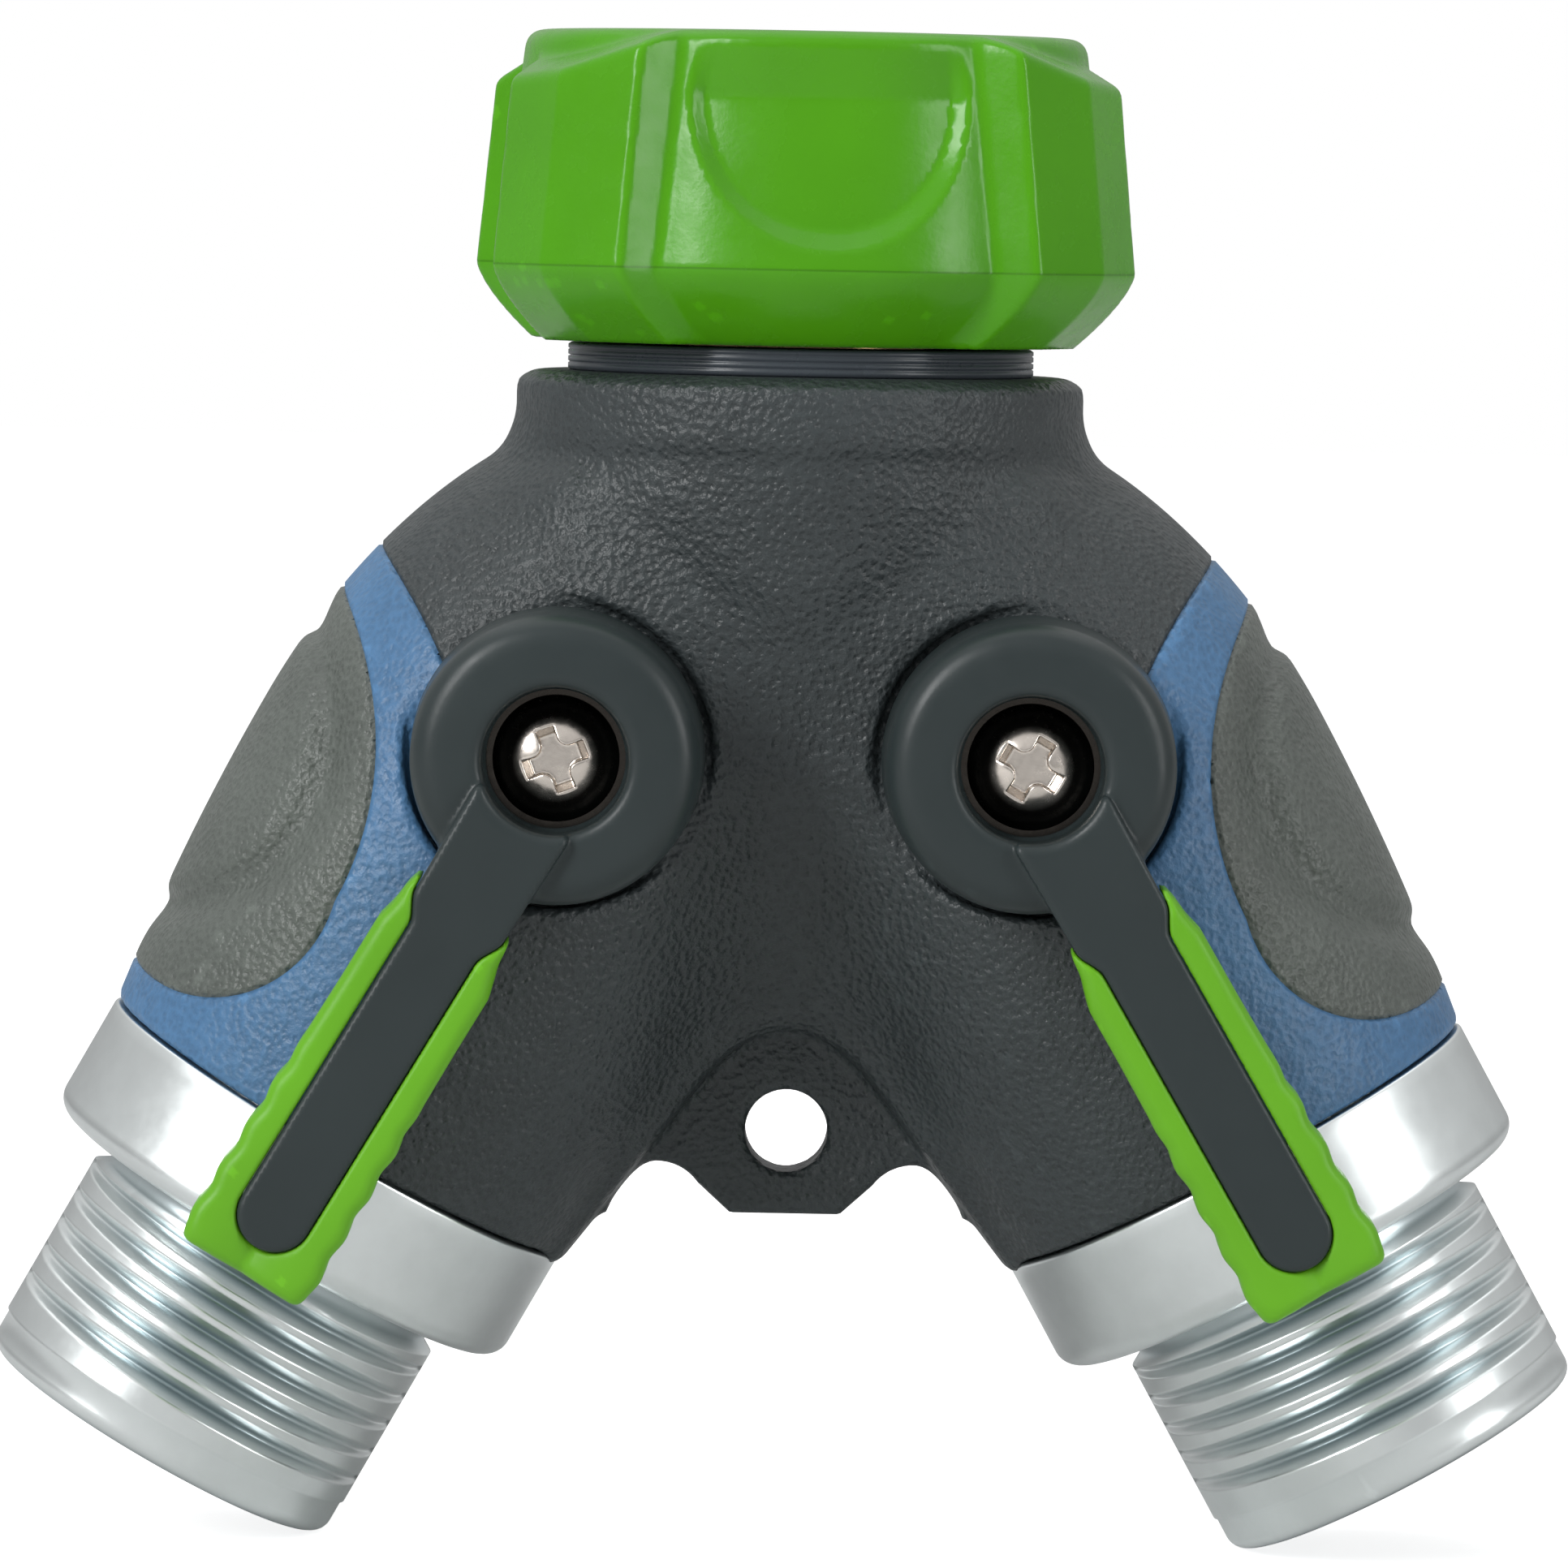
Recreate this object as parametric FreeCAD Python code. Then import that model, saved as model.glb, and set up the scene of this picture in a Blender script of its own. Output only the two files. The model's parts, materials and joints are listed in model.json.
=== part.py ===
import FreeCAD
import Part
import math
import os

# Two-way garden-hose splitter: a Y valve with a swivel nut on top and two ball valves.
# The frame's origin is the centre of the hose washer's sealing face, +Z points out of the
# nut's mouth, +X is the right leg's side, and the levers face -Y.  Millimetres.

V = FreeCAD.Vector

# ---- driving dimensions -------------------------------------------------------------------
# Each size stands once.  What fits another piece is worked out from it with a named step or gap.

# clearances
running = 0.05                # radial, between turning metal pieces
swivel_gap = 0.25             # between the nut's faces and what they turn against
seat_gap = 0.04               # ball to seat
hub_gap = 0.3                 # hub to the pocket's floor
hub_side_gap = 0.4            # hub to the pocket's wall
nut_gap = 0.2                 # nut's foot to the collar
washer_gap = 0.2              # washer's edge to the relief it snaps into
seal_gap = 0.02               # seal cords to their grooves
stem_hole_gap = 0.2           # stem's inner flange to the hole it goes in through
pin_gap = 0.1                 # stop pin to its track
screw_tip_gap = 0.5

# hose threads, 3/4-11.5 hose coupling thread
thread_pitch = 25.4 / 11.5
female_minor_r = 12.25
female_major_r = 13.55
male_major_r = 13.5
male_root_r = 12.35
thread_flank = 30.0           # half of the 60 degree profile
root_flat = 0.3
male_grooves = 5
strip_fade = 75.0             # where a groove runs out, from the middle of its side
lead_step = 0.17              # the plain nose is this much under the thread's crest
thread_lift = 0.2             # how far the inside thread's cutter starts below the wall
thread_start_z = 1.2          # lowest turn of the inside thread

# ball valves
ball_r = 9.0
water_r = 5.5                 # of the ball's bore and the ways to it
chamber_r = ball_r + 0.5
seat_inner_offset = ball_r - 3.0
seat_outer_offset = ball_r + 0.6
seat_bore_step = 0.2
inlet_way_h = 9.5             # of the drilled way from the plenum to the ball
valve_stem_r = 3.5
stem_flange_side_r = valve_stem_r + 1.1
stem_shoulder = (ball_r + 0.25, ball_r + 1.9)   # inside flange, distances from the ball's centre
tongue_w = 2.8
tongue_depth = 2.0
square_w = 2 * valve_stem_r - 2.0
seal_cord_r = 0.42
seal_groove_w = 1.1
seal_places = (stem_shoulder[1] + 1.5, stem_shoulder[1] + 3.4)
pocket_floor = seal_places[1] + seal_groove_w + 0.6    # flat floor under the hub
square_start = pocket_floor + 1.0

# legs of the Y
leg_angle = 29.2              # of each leg's axis from straight down
leg_meet_z = -10.1            # height where the two leg axes cross
cover_wall = 2.2              # rubber over the metal core
spigot_r = chamber_r + 1.5    # outlet's shank, screwed into the core
plug_h = 4.5                  # thinner end of the shank, which presses on the ball's seat
gasket_bore_r = spigot_r + 1.8
gasket_r = gasket_bore_r + 1.8
gasket_h = 1.2
gasket_wall = 0.95            # metal between the gasket and the cover
leg_end_r = gasket_r + gasket_wall + cover_wall        # of the cover's end and the outlet's ring
leg_swell = 1.65
leg_r = leg_end_r + leg_swell # cover radius at the fullest place
leg_end_t = 63.8              # end of the cover, top face of the outlet's ring
leg_full_t = 42.0             # distance of the fullest place from the crossing
shoulder_centre_t = 40.0      # the shoulder is part of an ellipse about this place
shoulder_run = 32.3
leg_shoulder_t = 12.0         # where the leg's shoulder starts
pivot_t = 32.7                # valve centre

# neck and swivel
flange_r = 19.6               # top edge of the cover
flange_top_z = -12.9
flange_h = 4.9
flange_round = 1.5
neck_step = 1.3
neck_h = 21.1                 # down to where the neck ends inside the legs
collar_r = 16.1
collar_h = 1.9
collar_seat_w = 3.0           # how far the collar reaches over the cover
core_drop = 1.5               # core's shoulder below the cover's top
stem_r = 9.4                  # inlet stem, pressed into the neck
stem_bore_r = stem_r - 2.4
stem_h = 15.0
stem_seal_h = 12.4            # top face of the stem to the middle of its seal
stem_seal_cord_r = 0.6
stem_groove_h = 1.4
washer_h = 3.0
washer_bore_r = 8.0
washer_r = female_minor_r + 0.25
relief_r = washer_r + washer_gap
stem_flange_r = washer_r - 0.9
stem_flange_h = 2.2
plenum_r = stem_r - 1.0
plenum_h = 7.0

# swivel nut
mouth_z = 10.5                # threaded length above the washer's sealing face
nut_bottom_z = flange_top_z + collar_h + nut_gap
nut_part_h = 5.2              # foot to parting line, the nut's widest height
insert_wall = 3.05
insert_r = female_major_r + insert_wall
insert_top_gap = 0.4          # insert's top below the grip's
foot_h = 1.2                  # grip's floor under the insert
foot_bore_r = stem_r + 3.4
grip_bore_r = female_major_r + 0.6
grip_wall = 2.7
nut_rim_r = insert_r + grip_wall
nut_wide_r = nut_rim_r + 1.9
nut_foot_r = nut_wide_r - 4.2
foot_chamfer = (1.4, 0.6)
rim_round = 1.0
nut_rest_turn = 5.3           # how far the nut is turned at rest
rib_r_top = nut_rim_r + 3.3
rib_r_wide = nut_wide_r + 3.0
rib_r_foot = nut_foot_r + 2.4
rib_root = 2.0                # how deep the ribs start in the wall
rib_half_w = 5.44
rib_flare = 1.6               # extra half width at the root
rib_crest = (1.4, 1.0)        # half width lost to each facet, and half width of the ridge
rib_angles = (50.0, 130.0, 230.0, 310.0)
rib_top_drop = 4.1            # ribs' tops below the mouth, outside
rib_top_inner_drop = 1.9      # and where they leave the wall
scallop_angles = (0.0, 180.0)
scallop_half_w = 9.9
scallop_narrow = 0.62         # of that width, at the U's corners
scallop_depth = 0.7
scallop_low_h = 6.4           # foot of the nut to the bottom of the U
scallop_corner_h = 3.0
scallop_side_h = 17.8

# outlets
ring_h = 8.5
ring_round = 1.4
outlet_neck_r = 12.6
outlet_neck_h = 1.6
barrel_h = 15.1               # from the neck to the tip
thread_run_in = 0.6           # cone from the neck to the thread's crest
tip_round = 0.9
outlet_bore_r = 6.0
mouth_bore_r = 8.8
mouth_bore_depth = 11.0
mouth_cone_h = 2.0

# lever
hub_r = 10.0
pocket_r = hub_r + hub_side_gap
hub_rear = pocket_floor + hub_gap
stop_web = 3.0                # depth of the stop pin's track
hub_web = (hub_rear + stop_web, hub_rear + stop_web + 2.1)
stem_top = hub_web[1] - 0.2
recess_depth = 5.6
hub_front = hub_web[1] + recess_depth
hub_face_r = hub_r - 1.1
hub_taper = 0.2
stop_pin_r = 1.0
stop_pin_place = hub_r - 3.0  # from the pivot
stop_pin_root = 3.0
stop_pin_tall = 2.3
hub_cavity_r = stop_pin_place + stop_pin_r + 0.7       # outside of the stop pin's track
track_core_r = stop_pin_place - stop_pin_r - 1.0
valve_turn = 90.0
turn_slack = 1.5              # beyond each stop
arm_length = 40.3
arm_lean = 1.4                # of the arm from the leg's axis at rest
arm_w = 7.4
arm_w_tip = 5.2
arm_neck_h = 2.0              # where the arm narrows
arm_front = hub_front - 0.4
arm_back = arm_front - 5.3
arm_tongue_end = arm_length - 2.1
grip_start = 12.0
grip_w = 9.2
grip_back = arm_back - 0.6
grip_front = arm_front + 0.3
grip_corner = 0.9
grip_corner_h = 2.5
grip_tip_corner = 1.0
grip_tip_flare = 0.2
grip_bump_r = 1.0
grip_bump_out = 0.6           # how far a bump's circle stands out of the grip's side
grip_bump_pitch = 3.4
grip_bumps = 4
screw_head_r = 4.4
screw_head_h = 2.4
screw_r = square_w / 2 - 0.5
screw_length = 8.0
screw_washer_h = 0.5
recess_r = screw_head_r + 0.5
cross_w = 1.15
cross_span = 4.9
cross_depth = 1.5
screw_turns = {"left": 21.0, "right": -30.0}

# side bands and grip pads, as (distance along the leg, distance off its axis)
inlay_depth = 1.6
inlay_out = leg_r + 1.6       # the outlines close outside the cover
band_top = (pivot_t - 6.4, inlay_out)
band_mid = (pivot_t - 2.8, 12.1)
band_hub = (pivot_t + 3.3, 4.8)
band_low = (pivot_t + 11.3, 1.4)
pad_top = (pivot_t - 2.8, inlay_out)
pad_upper = (pivot_t + 3.3, 12.8)
pad_lower = (leg_end_t - 6.6, 9.9)
pad_bottom = (leg_end_t - 3.9, inlay_out)
pad_inner = ((pad_upper[0] + pad_lower[0]) / 2 + 2.4, 8.1)

# hang tab and web between the legs, placed by the legs' inner lower corners
corner_x = leg_end_t * math.sin(math.radians(leg_angle)) - leg_end_r * math.cos(math.radians(leg_angle))
corner_drop = leg_end_t * math.cos(math.radians(leg_angle)) + leg_end_r * math.sin(math.radians(leg_angle))
tab_thick = 5.5
hole_rise = 9.15
hole_z = leg_meet_z - corner_drop + hole_rise
hole_r = 2.85
tab_drop = 5.8
tab_bottom_z = hole_z - tab_drop
tab_half_w = 3.8
notch_x = 8.9
notch_r = 3.5
wing_x = corner_x + 2.4
arch_r = 8.2
arch_lift = 1.0               # centre of the arch below the hole
web_end_x = corner_x - 4.6
web_end_drop = 1.9
web_thick = 13.0
web_thick_top = 30.0
web_top_rise = 21.3           # hole to where the web is at its thickest
web_thin_rise = 5.3

SIDES = {"left": -1, "right": 1}
os.makedirs("parts", exist_ok=True)


# ---- helpers --------------------------------------------------------------------------------
def save(name, shape):
    """Writes one node."""
    shape.exportStep("parts/" + name + ".step")


def ring(r_out, r_in, z0, z1):
    """A tube about Z between two heights."""
    outer = Part.makeCylinder(r_out, z1 - z0, V(0, 0, z0))
    if r_in <= 0:
        return outer
    return outer.cut(Part.makeCylinder(r_in, z1 - z0, V(0, 0, z0)))


def turned(points):
    """A solid of revolution about Z from (radius, z) corners; a triple of points is an arc."""
    edges = []
    here = points[0]
    for item in points[1:] + [points[0]]:
        if isinstance(item[0], tuple):
            mid, end = item
            edges.append(Part.Arc(at_rz(here), at_rz(mid), at_rz(end)).toShape())
            here = end
        elif item != here:
            edges.append(Part.makeLine(at_rz(here), at_rz(item)))
            here = item
    return Part.Face(Part.Wire(edges)).revolve(V(0, 0, 0), V(0, 0, 1), 360)


def at_rz(p):
    return V(p[0], 0, p[1])


def prism(points, y0, y1):
    """Extrudes an XZ outline along Y; a pair of points is an arc's middle and end."""
    edges = []
    here = points[0]
    for item in points[1:] + [points[0]]:
        if isinstance(item[0], tuple):
            mid, end = item
            edges.append(Part.Arc(xz(here, y0), xz(mid, y0), xz(end, y0)).toShape())
            here = end
        elif item != here:
            edges.append(Part.makeLine(xz(here, y0), xz(item, y0)))
            here = item
    return Part.Face(Part.Wire(edges)).extrude(V(0, y1 - y0, 0))


def xz(p, y):
    return V(p[0], y, p[1])


def toward_front(radius, near, far):
    """A cylinder about the valve's turning axis, between two distances in front of the leg."""
    return Part.makeCylinder(radius, far - near, V(0, -near, 0), V(0, -1, 0))


def to_pivot(shape):
    """From the valve's own frame to the upright leg."""
    moved = shape.copy()
    moved.translate(V(0, 0, -pivot_t))
    return moved


def on_leg(shape, side):
    """From the upright leg, hanging down from the crossing, to its place in the Y."""
    placed = shape.copy()
    placed.rotate(V(0, 0, 0), V(0, 1, 0), -leg_angle * side)
    placed.translate(V(0, 0, leg_meet_z))
    return placed


def handed(shape, side):
    """The right-hand piece, or its mirror image for the left leg."""
    placed = on_leg(shape, 1)
    if side > 0:
        return placed
    return placed.mirror(V(0, 0, 0), V(1, 0, 0))


# ---- outer shape of the Y ---------------------------------------------------------------------
def leg_radius(t):
    """Cover radius along the lower part of a leg: a shallow arc from full to end."""
    run = leg_end_t - leg_full_t
    return leg_r - (leg_r - leg_end_r) * ((t - leg_full_t) / run) ** 2


def shoulder_radius(t):
    """Cover radius along the shoulder: part of an ellipse."""
    return leg_r * math.sqrt(1 - ((shoulder_centre_t - t) / shoulder_run) ** 2)


def leg_form(inset):
    """The leg as a solid, its surface moved in by inset."""
    middle_t = (leg_shoulder_t + leg_full_t) / 2
    low_t = (leg_full_t + leg_end_t) / 2
    corners = [
        (0, -leg_shoulder_t),
        (shoulder_radius(leg_shoulder_t) - inset, -leg_shoulder_t),
        ((shoulder_radius(middle_t) - inset, -middle_t), (leg_r - inset, -leg_full_t)),
        ((leg_radius(low_t) - inset, -low_t), (leg_end_r - inset, -leg_end_t)),
        (0, -leg_end_t),
    ]
    return turned(corners)


def neck_form(inset, top_z):
    """Flange and neck above the legs, without the rounded edge."""
    rim = flange_r - inset
    neck = rim - neck_step
    low_z = flange_top_z - flange_h
    end_z = flange_top_z - neck_h
    return turned([
        (0, top_z), (rim, top_z), (rim, low_z), (neck, low_z - neck_step), (neck, end_z), (0, end_z),
    ])


def web_form():
    """The filled crotch between the legs, down to the arch above the hang tab."""
    arch_side = arch_r * math.sin(math.radians(45))
    arch_z = hole_z - arch_lift
    end_z = hole_z - web_end_drop
    top_z = leg_meet_z - leg_shoulder_t
    outline = [
        (-web_end_x, end_z), (-arch_side, arch_z + arch_side),
        ((0, arch_z + arch_r), (arch_side, arch_z + arch_side)), (web_end_x, end_z),
        (wing_x, end_z), (leg_shoulder_t, top_z), (-leg_shoulder_t, top_z), (-wing_x, end_z),
    ]
    plate = prism(outline, -leg_r, leg_r)
    half = web_thick / 2
    half_top = web_thick_top / 2
    thin_z = hole_z + web_thin_rise
    full_z = hole_z + web_top_rise
    section = [
        V(-wing_x, -half, end_z), V(-wing_x, half, end_z), V(-wing_x, half, thin_z),
        V(-wing_x, half_top, full_z), V(-wing_x, half_top, top_z), V(-wing_x, -half_top, top_z),
        V(-wing_x, -half_top, full_z), V(-wing_x, -half, thin_z), V(-wing_x, -half, end_z),
    ]
    wedge = Part.Face(Part.makePolygon(section)).extrude(V(2 * wing_x, 0, 0))
    return plate.common(wedge)


def tab_form():
    """The thin hang tab, with a round bite each side."""
    bite = math.radians(32)
    near_x = notch_x - notch_r * math.cos(bite)
    far_x = notch_x + notch_r * math.cos(bite)
    shelf_z = tab_bottom_z + notch_r * math.sin(bite)
    bite_z = tab_bottom_z + notch_r
    wing_z = hole_z + web_thin_rise
    outline = [
        (-tab_half_w, tab_bottom_z), (tab_half_w, tab_bottom_z), (near_x, shelf_z),
        ((notch_x, bite_z), (far_x, shelf_z)), (wing_x, hole_z), (notch_x, wing_z),
        (-notch_x, wing_z), (-wing_x, hole_z), (-far_x, shelf_z),
        ((-notch_x, bite_z), (-near_x, shelf_z)),
    ]
    plate = prism(outline, -tab_thick / 2, tab_thick / 2)
    hole = Part.makeCylinder(hole_r, 2 * tab_thick, V(0, tab_thick, hole_z), V(0, -1, 0))
    return plate, hole


def pocket_form():
    """The round pocket that a lever's hub sits in."""
    return to_pivot(toward_front(pocket_r, pocket_floor, hub_front))


# ---- metal core ---------------------------------------------------------------------------------
def core_outside():
    boss = ring(collar_r - collar_seat_w, 0, flange_top_z - neck_h, flange_top_z)
    form = neck_form(cover_wall, flange_top_z - core_drop).fuse(boss)
    for side in SIDES.values():
        form = form.fuse(on_leg(leg_form(cover_wall), side))
        form = form.cut(handed(pocket_form(), side))
    return form


def valve_body():
    """Cast Y: neck bore, plenum, ball chambers, stem bores and gasket grooves."""
    body = core_outside()
    stem_end_z = -washer_h - stem_h
    body = body.cut(ring(stem_r, 0, stem_end_z, 0))
    body = body.cut(ring(plenum_r, 0, stem_end_z - plenum_h, stem_end_z))
    for side in SIDES.values():
        body = body.cut(handed(leg_hollows(), side))
    return body


def leg_hollows():
    """Everything bored out of one leg: water way, ball chamber, shank, gasket and stem."""
    chamber_top = pivot_t - seat_outer_offset
    chamber_end = pivot_t + seat_outer_offset
    plug_end = chamber_end + plug_h
    hollow = ring(water_r, 0, -chamber_top, -chamber_top + inlet_way_h)
    hollow = hollow.fuse(ring(chamber_r, 0, -plug_end, -chamber_top))
    hollow = hollow.fuse(ring(spigot_r, 0, -leg_end_t, -plug_end))
    hollow = hollow.fuse(ring(gasket_r, gasket_bore_r, -leg_end_t, -leg_end_t + gasket_h))
    hollow = hollow.fuse(to_pivot(toward_front(valve_stem_r + running, 0, hub_front)))
    flange_hole_r = stem_flange_side_r + stem_hole_gap
    hollow = hollow.fuse(to_pivot(toward_front(flange_hole_r, 0, stem_shoulder[1] + running)))
    return hollow.fuse(to_pivot(stop_pin(0.0)))


def stop_pin(above):
    """Pin that limits the lever to a quarter turn, in the right valve's frame."""
    pin = toward_front(stop_pin_r, pocket_floor - stop_pin_root, pocket_floor + above)
    pin.translate(stop_direction() * stop_pin_place)
    return pin


def stop_direction():
    """Where the stop pin stands, seen from the pivot: inward of the leg, away from the arm."""
    a = math.radians(45)
    return V(-math.cos(a), 0, math.sin(a))


# ---- rubber cover, bands and pads ---------------------------------------------------------------
def cover_outside():
    form = neck_form(0, flange_top_z)
    sharp = ring(flange_r, 0, flange_top_z - flange_h, flange_top_z)
    rounded = sharp.makeFillet(flange_round, [top_edge(sharp, flange_top_z)])
    form = form.cut(sharp.cut(rounded))
    for side in SIDES.values():
        form = form.fuse(on_leg(leg_form(0), side))
    return form.fuse(web_form())


def top_edge(shape, z):
    """The round edge at a height."""
    best = None
    for edge in shape.Edges:
        box = edge.BoundBox
        if abs(box.ZMin - z) < 0.01 and abs(box.ZMax - z) < 0.01:
            best = edge
    return best


def skin():
    """Outer layer of a leg that the bands and pads are let into."""
    return leg_form(0).cut(leg_form(inlay_depth))


def leg_point(p):
    """(distance along the leg, distance off its axis) to the upright leg's XZ."""
    return (p[1], -p[0])


def band_region():
    outline = [
        leg_point(band_top), (leg_point(band_mid), leg_point(band_hub)), leg_point(band_low),
        leg_point((leg_end_t + 1, band_low[1])), leg_point((leg_end_t + 1, band_top[1])),
    ]
    return prism(outline, -leg_r - 1, leg_r + 1)


def pad_region():
    outline = [
        leg_point(pad_top), (leg_point(pad_upper), leg_point(pad_inner)),
        (leg_point(pad_lower), leg_point(pad_bottom)),
    ]
    return prism(outline, -leg_r - 1, leg_r + 1)


def inlays():
    """Band and pad of the right leg, in the upright leg's frame."""
    layer = skin().cut(pocket_form())
    band = layer.common(band_region()).cut(pad_region())
    pad = layer.common(pad_region())
    return band, pad


def body_cover(band, pad):
    """Rubber over the core, with the hang tab and room for the bands, pads and hubs."""
    plate, hole = tab_form()
    cover = cover_outside().fuse(plate).cut(hole)
    cover = cover.cut(core_outside())
    cover = cover.cut(ring(stem_r, 0, flange_top_z - neck_h, 0))
    for side in SIDES.values():
        cover = cover.cut(handed(pocket_form(), side))
        cover = cover.cut(handed(to_pivot(stop_pin(0.0)), side))
        cover = cover.cut(handed(band, side))
        cover = cover.cut(handed(pad, side))
    return cover


# ---- swivel and nut -----------------------------------------------------------------------------
def inlet_stem():
    """Pressed-in stem; its flange carries the nut and the washer seals on its top face."""
    top = -washer_h
    end = top - stem_h
    stem = turned([
        (stem_bore_r, top), (stem_flange_r, top), (stem_flange_r, top - stem_flange_h),
        (stem_r, top - stem_flange_h), (stem_r, end), (stem_bore_r, end),
    ])
    middle = top - stem_seal_h + stem_groove_h / 2
    core_r = stem_r - 2 * stem_seal_cord_r - 2 * seal_gap
    return stem.cut(ring(stem_r, core_r, middle - stem_groove_h / 2, middle + stem_groove_h / 2))


def inlet_stem_seal():
    middle = -washer_h - stem_seal_h + stem_groove_h / 2
    return Part.makeTorus(stem_r - stem_seal_cord_r - seal_gap, stem_seal_cord_r, V(0, 0, middle))


def swivel_collar():
    return ring(collar_r, stem_r, flange_top_z, flange_top_z + collar_h)


def inlet_washer():
    return ring(washer_r, washer_bore_r, -washer_h, 0)


def helix_groove():
    """Inside thread of the nut as one swept V, started below the wall and run out above it."""
    depth = female_major_r - female_minor_r
    half_open = root_flat / 2 + (depth + thread_lift) * math.tan(math.radians(thread_flank))
    r_in = female_minor_r - thread_lift
    start_z = thread_start_z
    turns_h = mouth_z - start_z + thread_pitch
    helix = Part.makeHelix(thread_pitch, turns_h, r_in)
    helix.translate(V(0, 0, start_z))
    profile = Part.makePolygon([
        V(r_in, 0, start_z - half_open), V(female_major_r, 0, start_z - root_flat / 2),
        V(female_major_r, 0, start_z + root_flat / 2), V(r_in, 0, start_z + half_open),
        V(r_in, 0, start_z - half_open)])
    return Part.Wire(helix.Edges).makePipeShell([profile], True, True)


def nut_insert():
    """Metal insert: thread above the washer, washer seat, and the lip that hooks under the stem."""
    lip_top = -washer_h - stem_flange_h - swivel_gap
    lip_r = stem_r + swivel_gap
    top = mouth_z - insert_top_gap
    low = nut_bottom_z + foot_h
    body = turned([
        (female_minor_r, top), (insert_r, top), (insert_r, low), (lip_r, low), (lip_r, lip_top),
        (relief_r, lip_top), (relief_r, 0), (female_minor_r, 0),
    ])
    return body.cut(helix_groove())


def rib_form():
    """One grip rib: a wedge of a cone with a sloped top, faceted crest and cut-back foot."""
    top_z = mouth_z - rib_top_drop
    inner_z = mouth_z - rib_top_inner_drop
    full = turned([
        (nut_rim_r - rib_root, inner_z), (nut_rim_r, inner_z), (rib_r_top, top_z),
        (rib_r_wide, nut_bottom_z + nut_part_h), (rib_r_foot, nut_bottom_z),
        (nut_foot_r - rib_root, nut_bottom_z),
    ])
    root_w = rib_half_w + rib_flare
    facet_w = rib_half_w - rib_crest[0]
    half_section = [
        (root_w, nut_rim_r / 2), (root_w, nut_wide_r - rib_root / 2), (facet_w, rib_r_wide),
        (rib_crest[1], rib_r_wide + rib_crest[0]),
    ]
    section = half_section + [(-x, y) for x, y in reversed(half_section)]
    corners = [V(x, -y, nut_bottom_z) for x, y in section + section[:1]]
    wedge = Part.Face(Part.makePolygon(corners)).extrude(V(0, 0, mouth_z - nut_bottom_z))
    return full.common(wedge)


def scallop_cut():
    """The shallow U-shaped dish on a flat of the nut."""
    high = mouth_z + 1
    low = nut_bottom_z + scallop_low_h
    side_z = nut_bottom_z + scallop_side_h
    corner = (scallop_half_w * scallop_narrow, low + scallop_corner_h)
    outline = [
        (-scallop_half_w, high), (-scallop_half_w, side_z), ((-corner[0], corner[1]), (0, low)),
        (corner, (scallop_half_w, side_z)), (scallop_half_w, high),
    ]
    block = prism(outline, -rib_r_wide, 0)
    slope = (nut_wide_r - nut_rim_r) / (mouth_z - nut_bottom_z - nut_part_h)
    top_r = nut_rim_r - scallop_depth - slope
    low_r = top_r + slope * (high - low)
    layer = turned([(top_r, high), (rib_r_wide, high), (rib_r_wide, low), (low_r, low)])
    return block.common(layer)


def nut_grip():
    """Green grip moulded round the insert."""
    soft = rim_round * (1 - math.sqrt(0.5))
    grip = turned([
        (grip_bore_r, mouth_z), (nut_rim_r - rim_round, mouth_z),
        ((nut_rim_r - soft, mouth_z - soft), (nut_rim_r, mouth_z - rim_round)),
        (nut_wide_r, nut_bottom_z + nut_part_h),
        (nut_foot_r + foot_chamfer[0], nut_bottom_z + foot_chamfer[1]),
        (nut_foot_r, nut_bottom_z), (foot_bore_r, nut_bottom_z),
    ])
    for angle in scallop_angles:
        dish = scallop_cut()
        dish.rotate(V(0, 0, 0), V(0, 0, 1), angle)
        grip = grip.cut(dish)
    for angle in rib_angles:
        rib = rib_form()
        rib.rotate(V(0, 0, 0), V(0, 0, 1), angle)
        grip = grip.fuse(rib)
    grip = grip.cut(ring(insert_r, 0, nut_bottom_z + foot_h, mouth_z - insert_top_gap))
    grip = grip.cut(ring(foot_bore_r, 0, nut_bottom_z, mouth_z))
    return grip.removeSplitter()


def turned_nut(shape):
    rested = shape.copy()
    rested.rotate(V(0, 0, 0), V(0, 0, 1), nut_rest_turn)
    return rested


# ---- outlets --------------------------------------------------------------------------------------
def thread_grooves():
    """Interrupted male thread: V rings set off the axis, so that each fades out to the sides."""
    fade = math.cos(math.radians(strip_fade))
    off = (male_major_r ** 2 - male_root_r ** 2) / (2 * (male_root_r + male_major_r * fade))
    root = male_root_r + off
    deep = male_major_r + 2 * off
    half_open = root_flat / 2 + (deep - root) * math.tan(math.radians(thread_flank))
    first = thread_start_t() + thread_pitch / 2
    lead = math.degrees(math.atan(thread_pitch / (2 * math.pi * male_major_r)))
    rings = []
    for half, facing in enumerate((-1, 1)):
        for i in range(male_grooves):
            vee = turned([(root, -root_flat / 2), (root, root_flat / 2), (deep, half_open),
                          (deep, -half_open)])
            vee.rotate(V(0, 0, 0), V(0, 1, 0), lead * facing)
            vee.translate(V(0, -off * facing, -(first + (i + 0.5 * half) * thread_pitch)))
            size = 2 * deep
            low = V(-size, 0 if facing > 0 else -size, -first - barrel_h)
            keep = Part.makeBox(2 * size, size, 2 * barrel_h, low)
            rings.append(vee.common(keep))
    return rings


def thread_start_t():
    return leg_end_t + ring_h + outlet_neck_h


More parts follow.
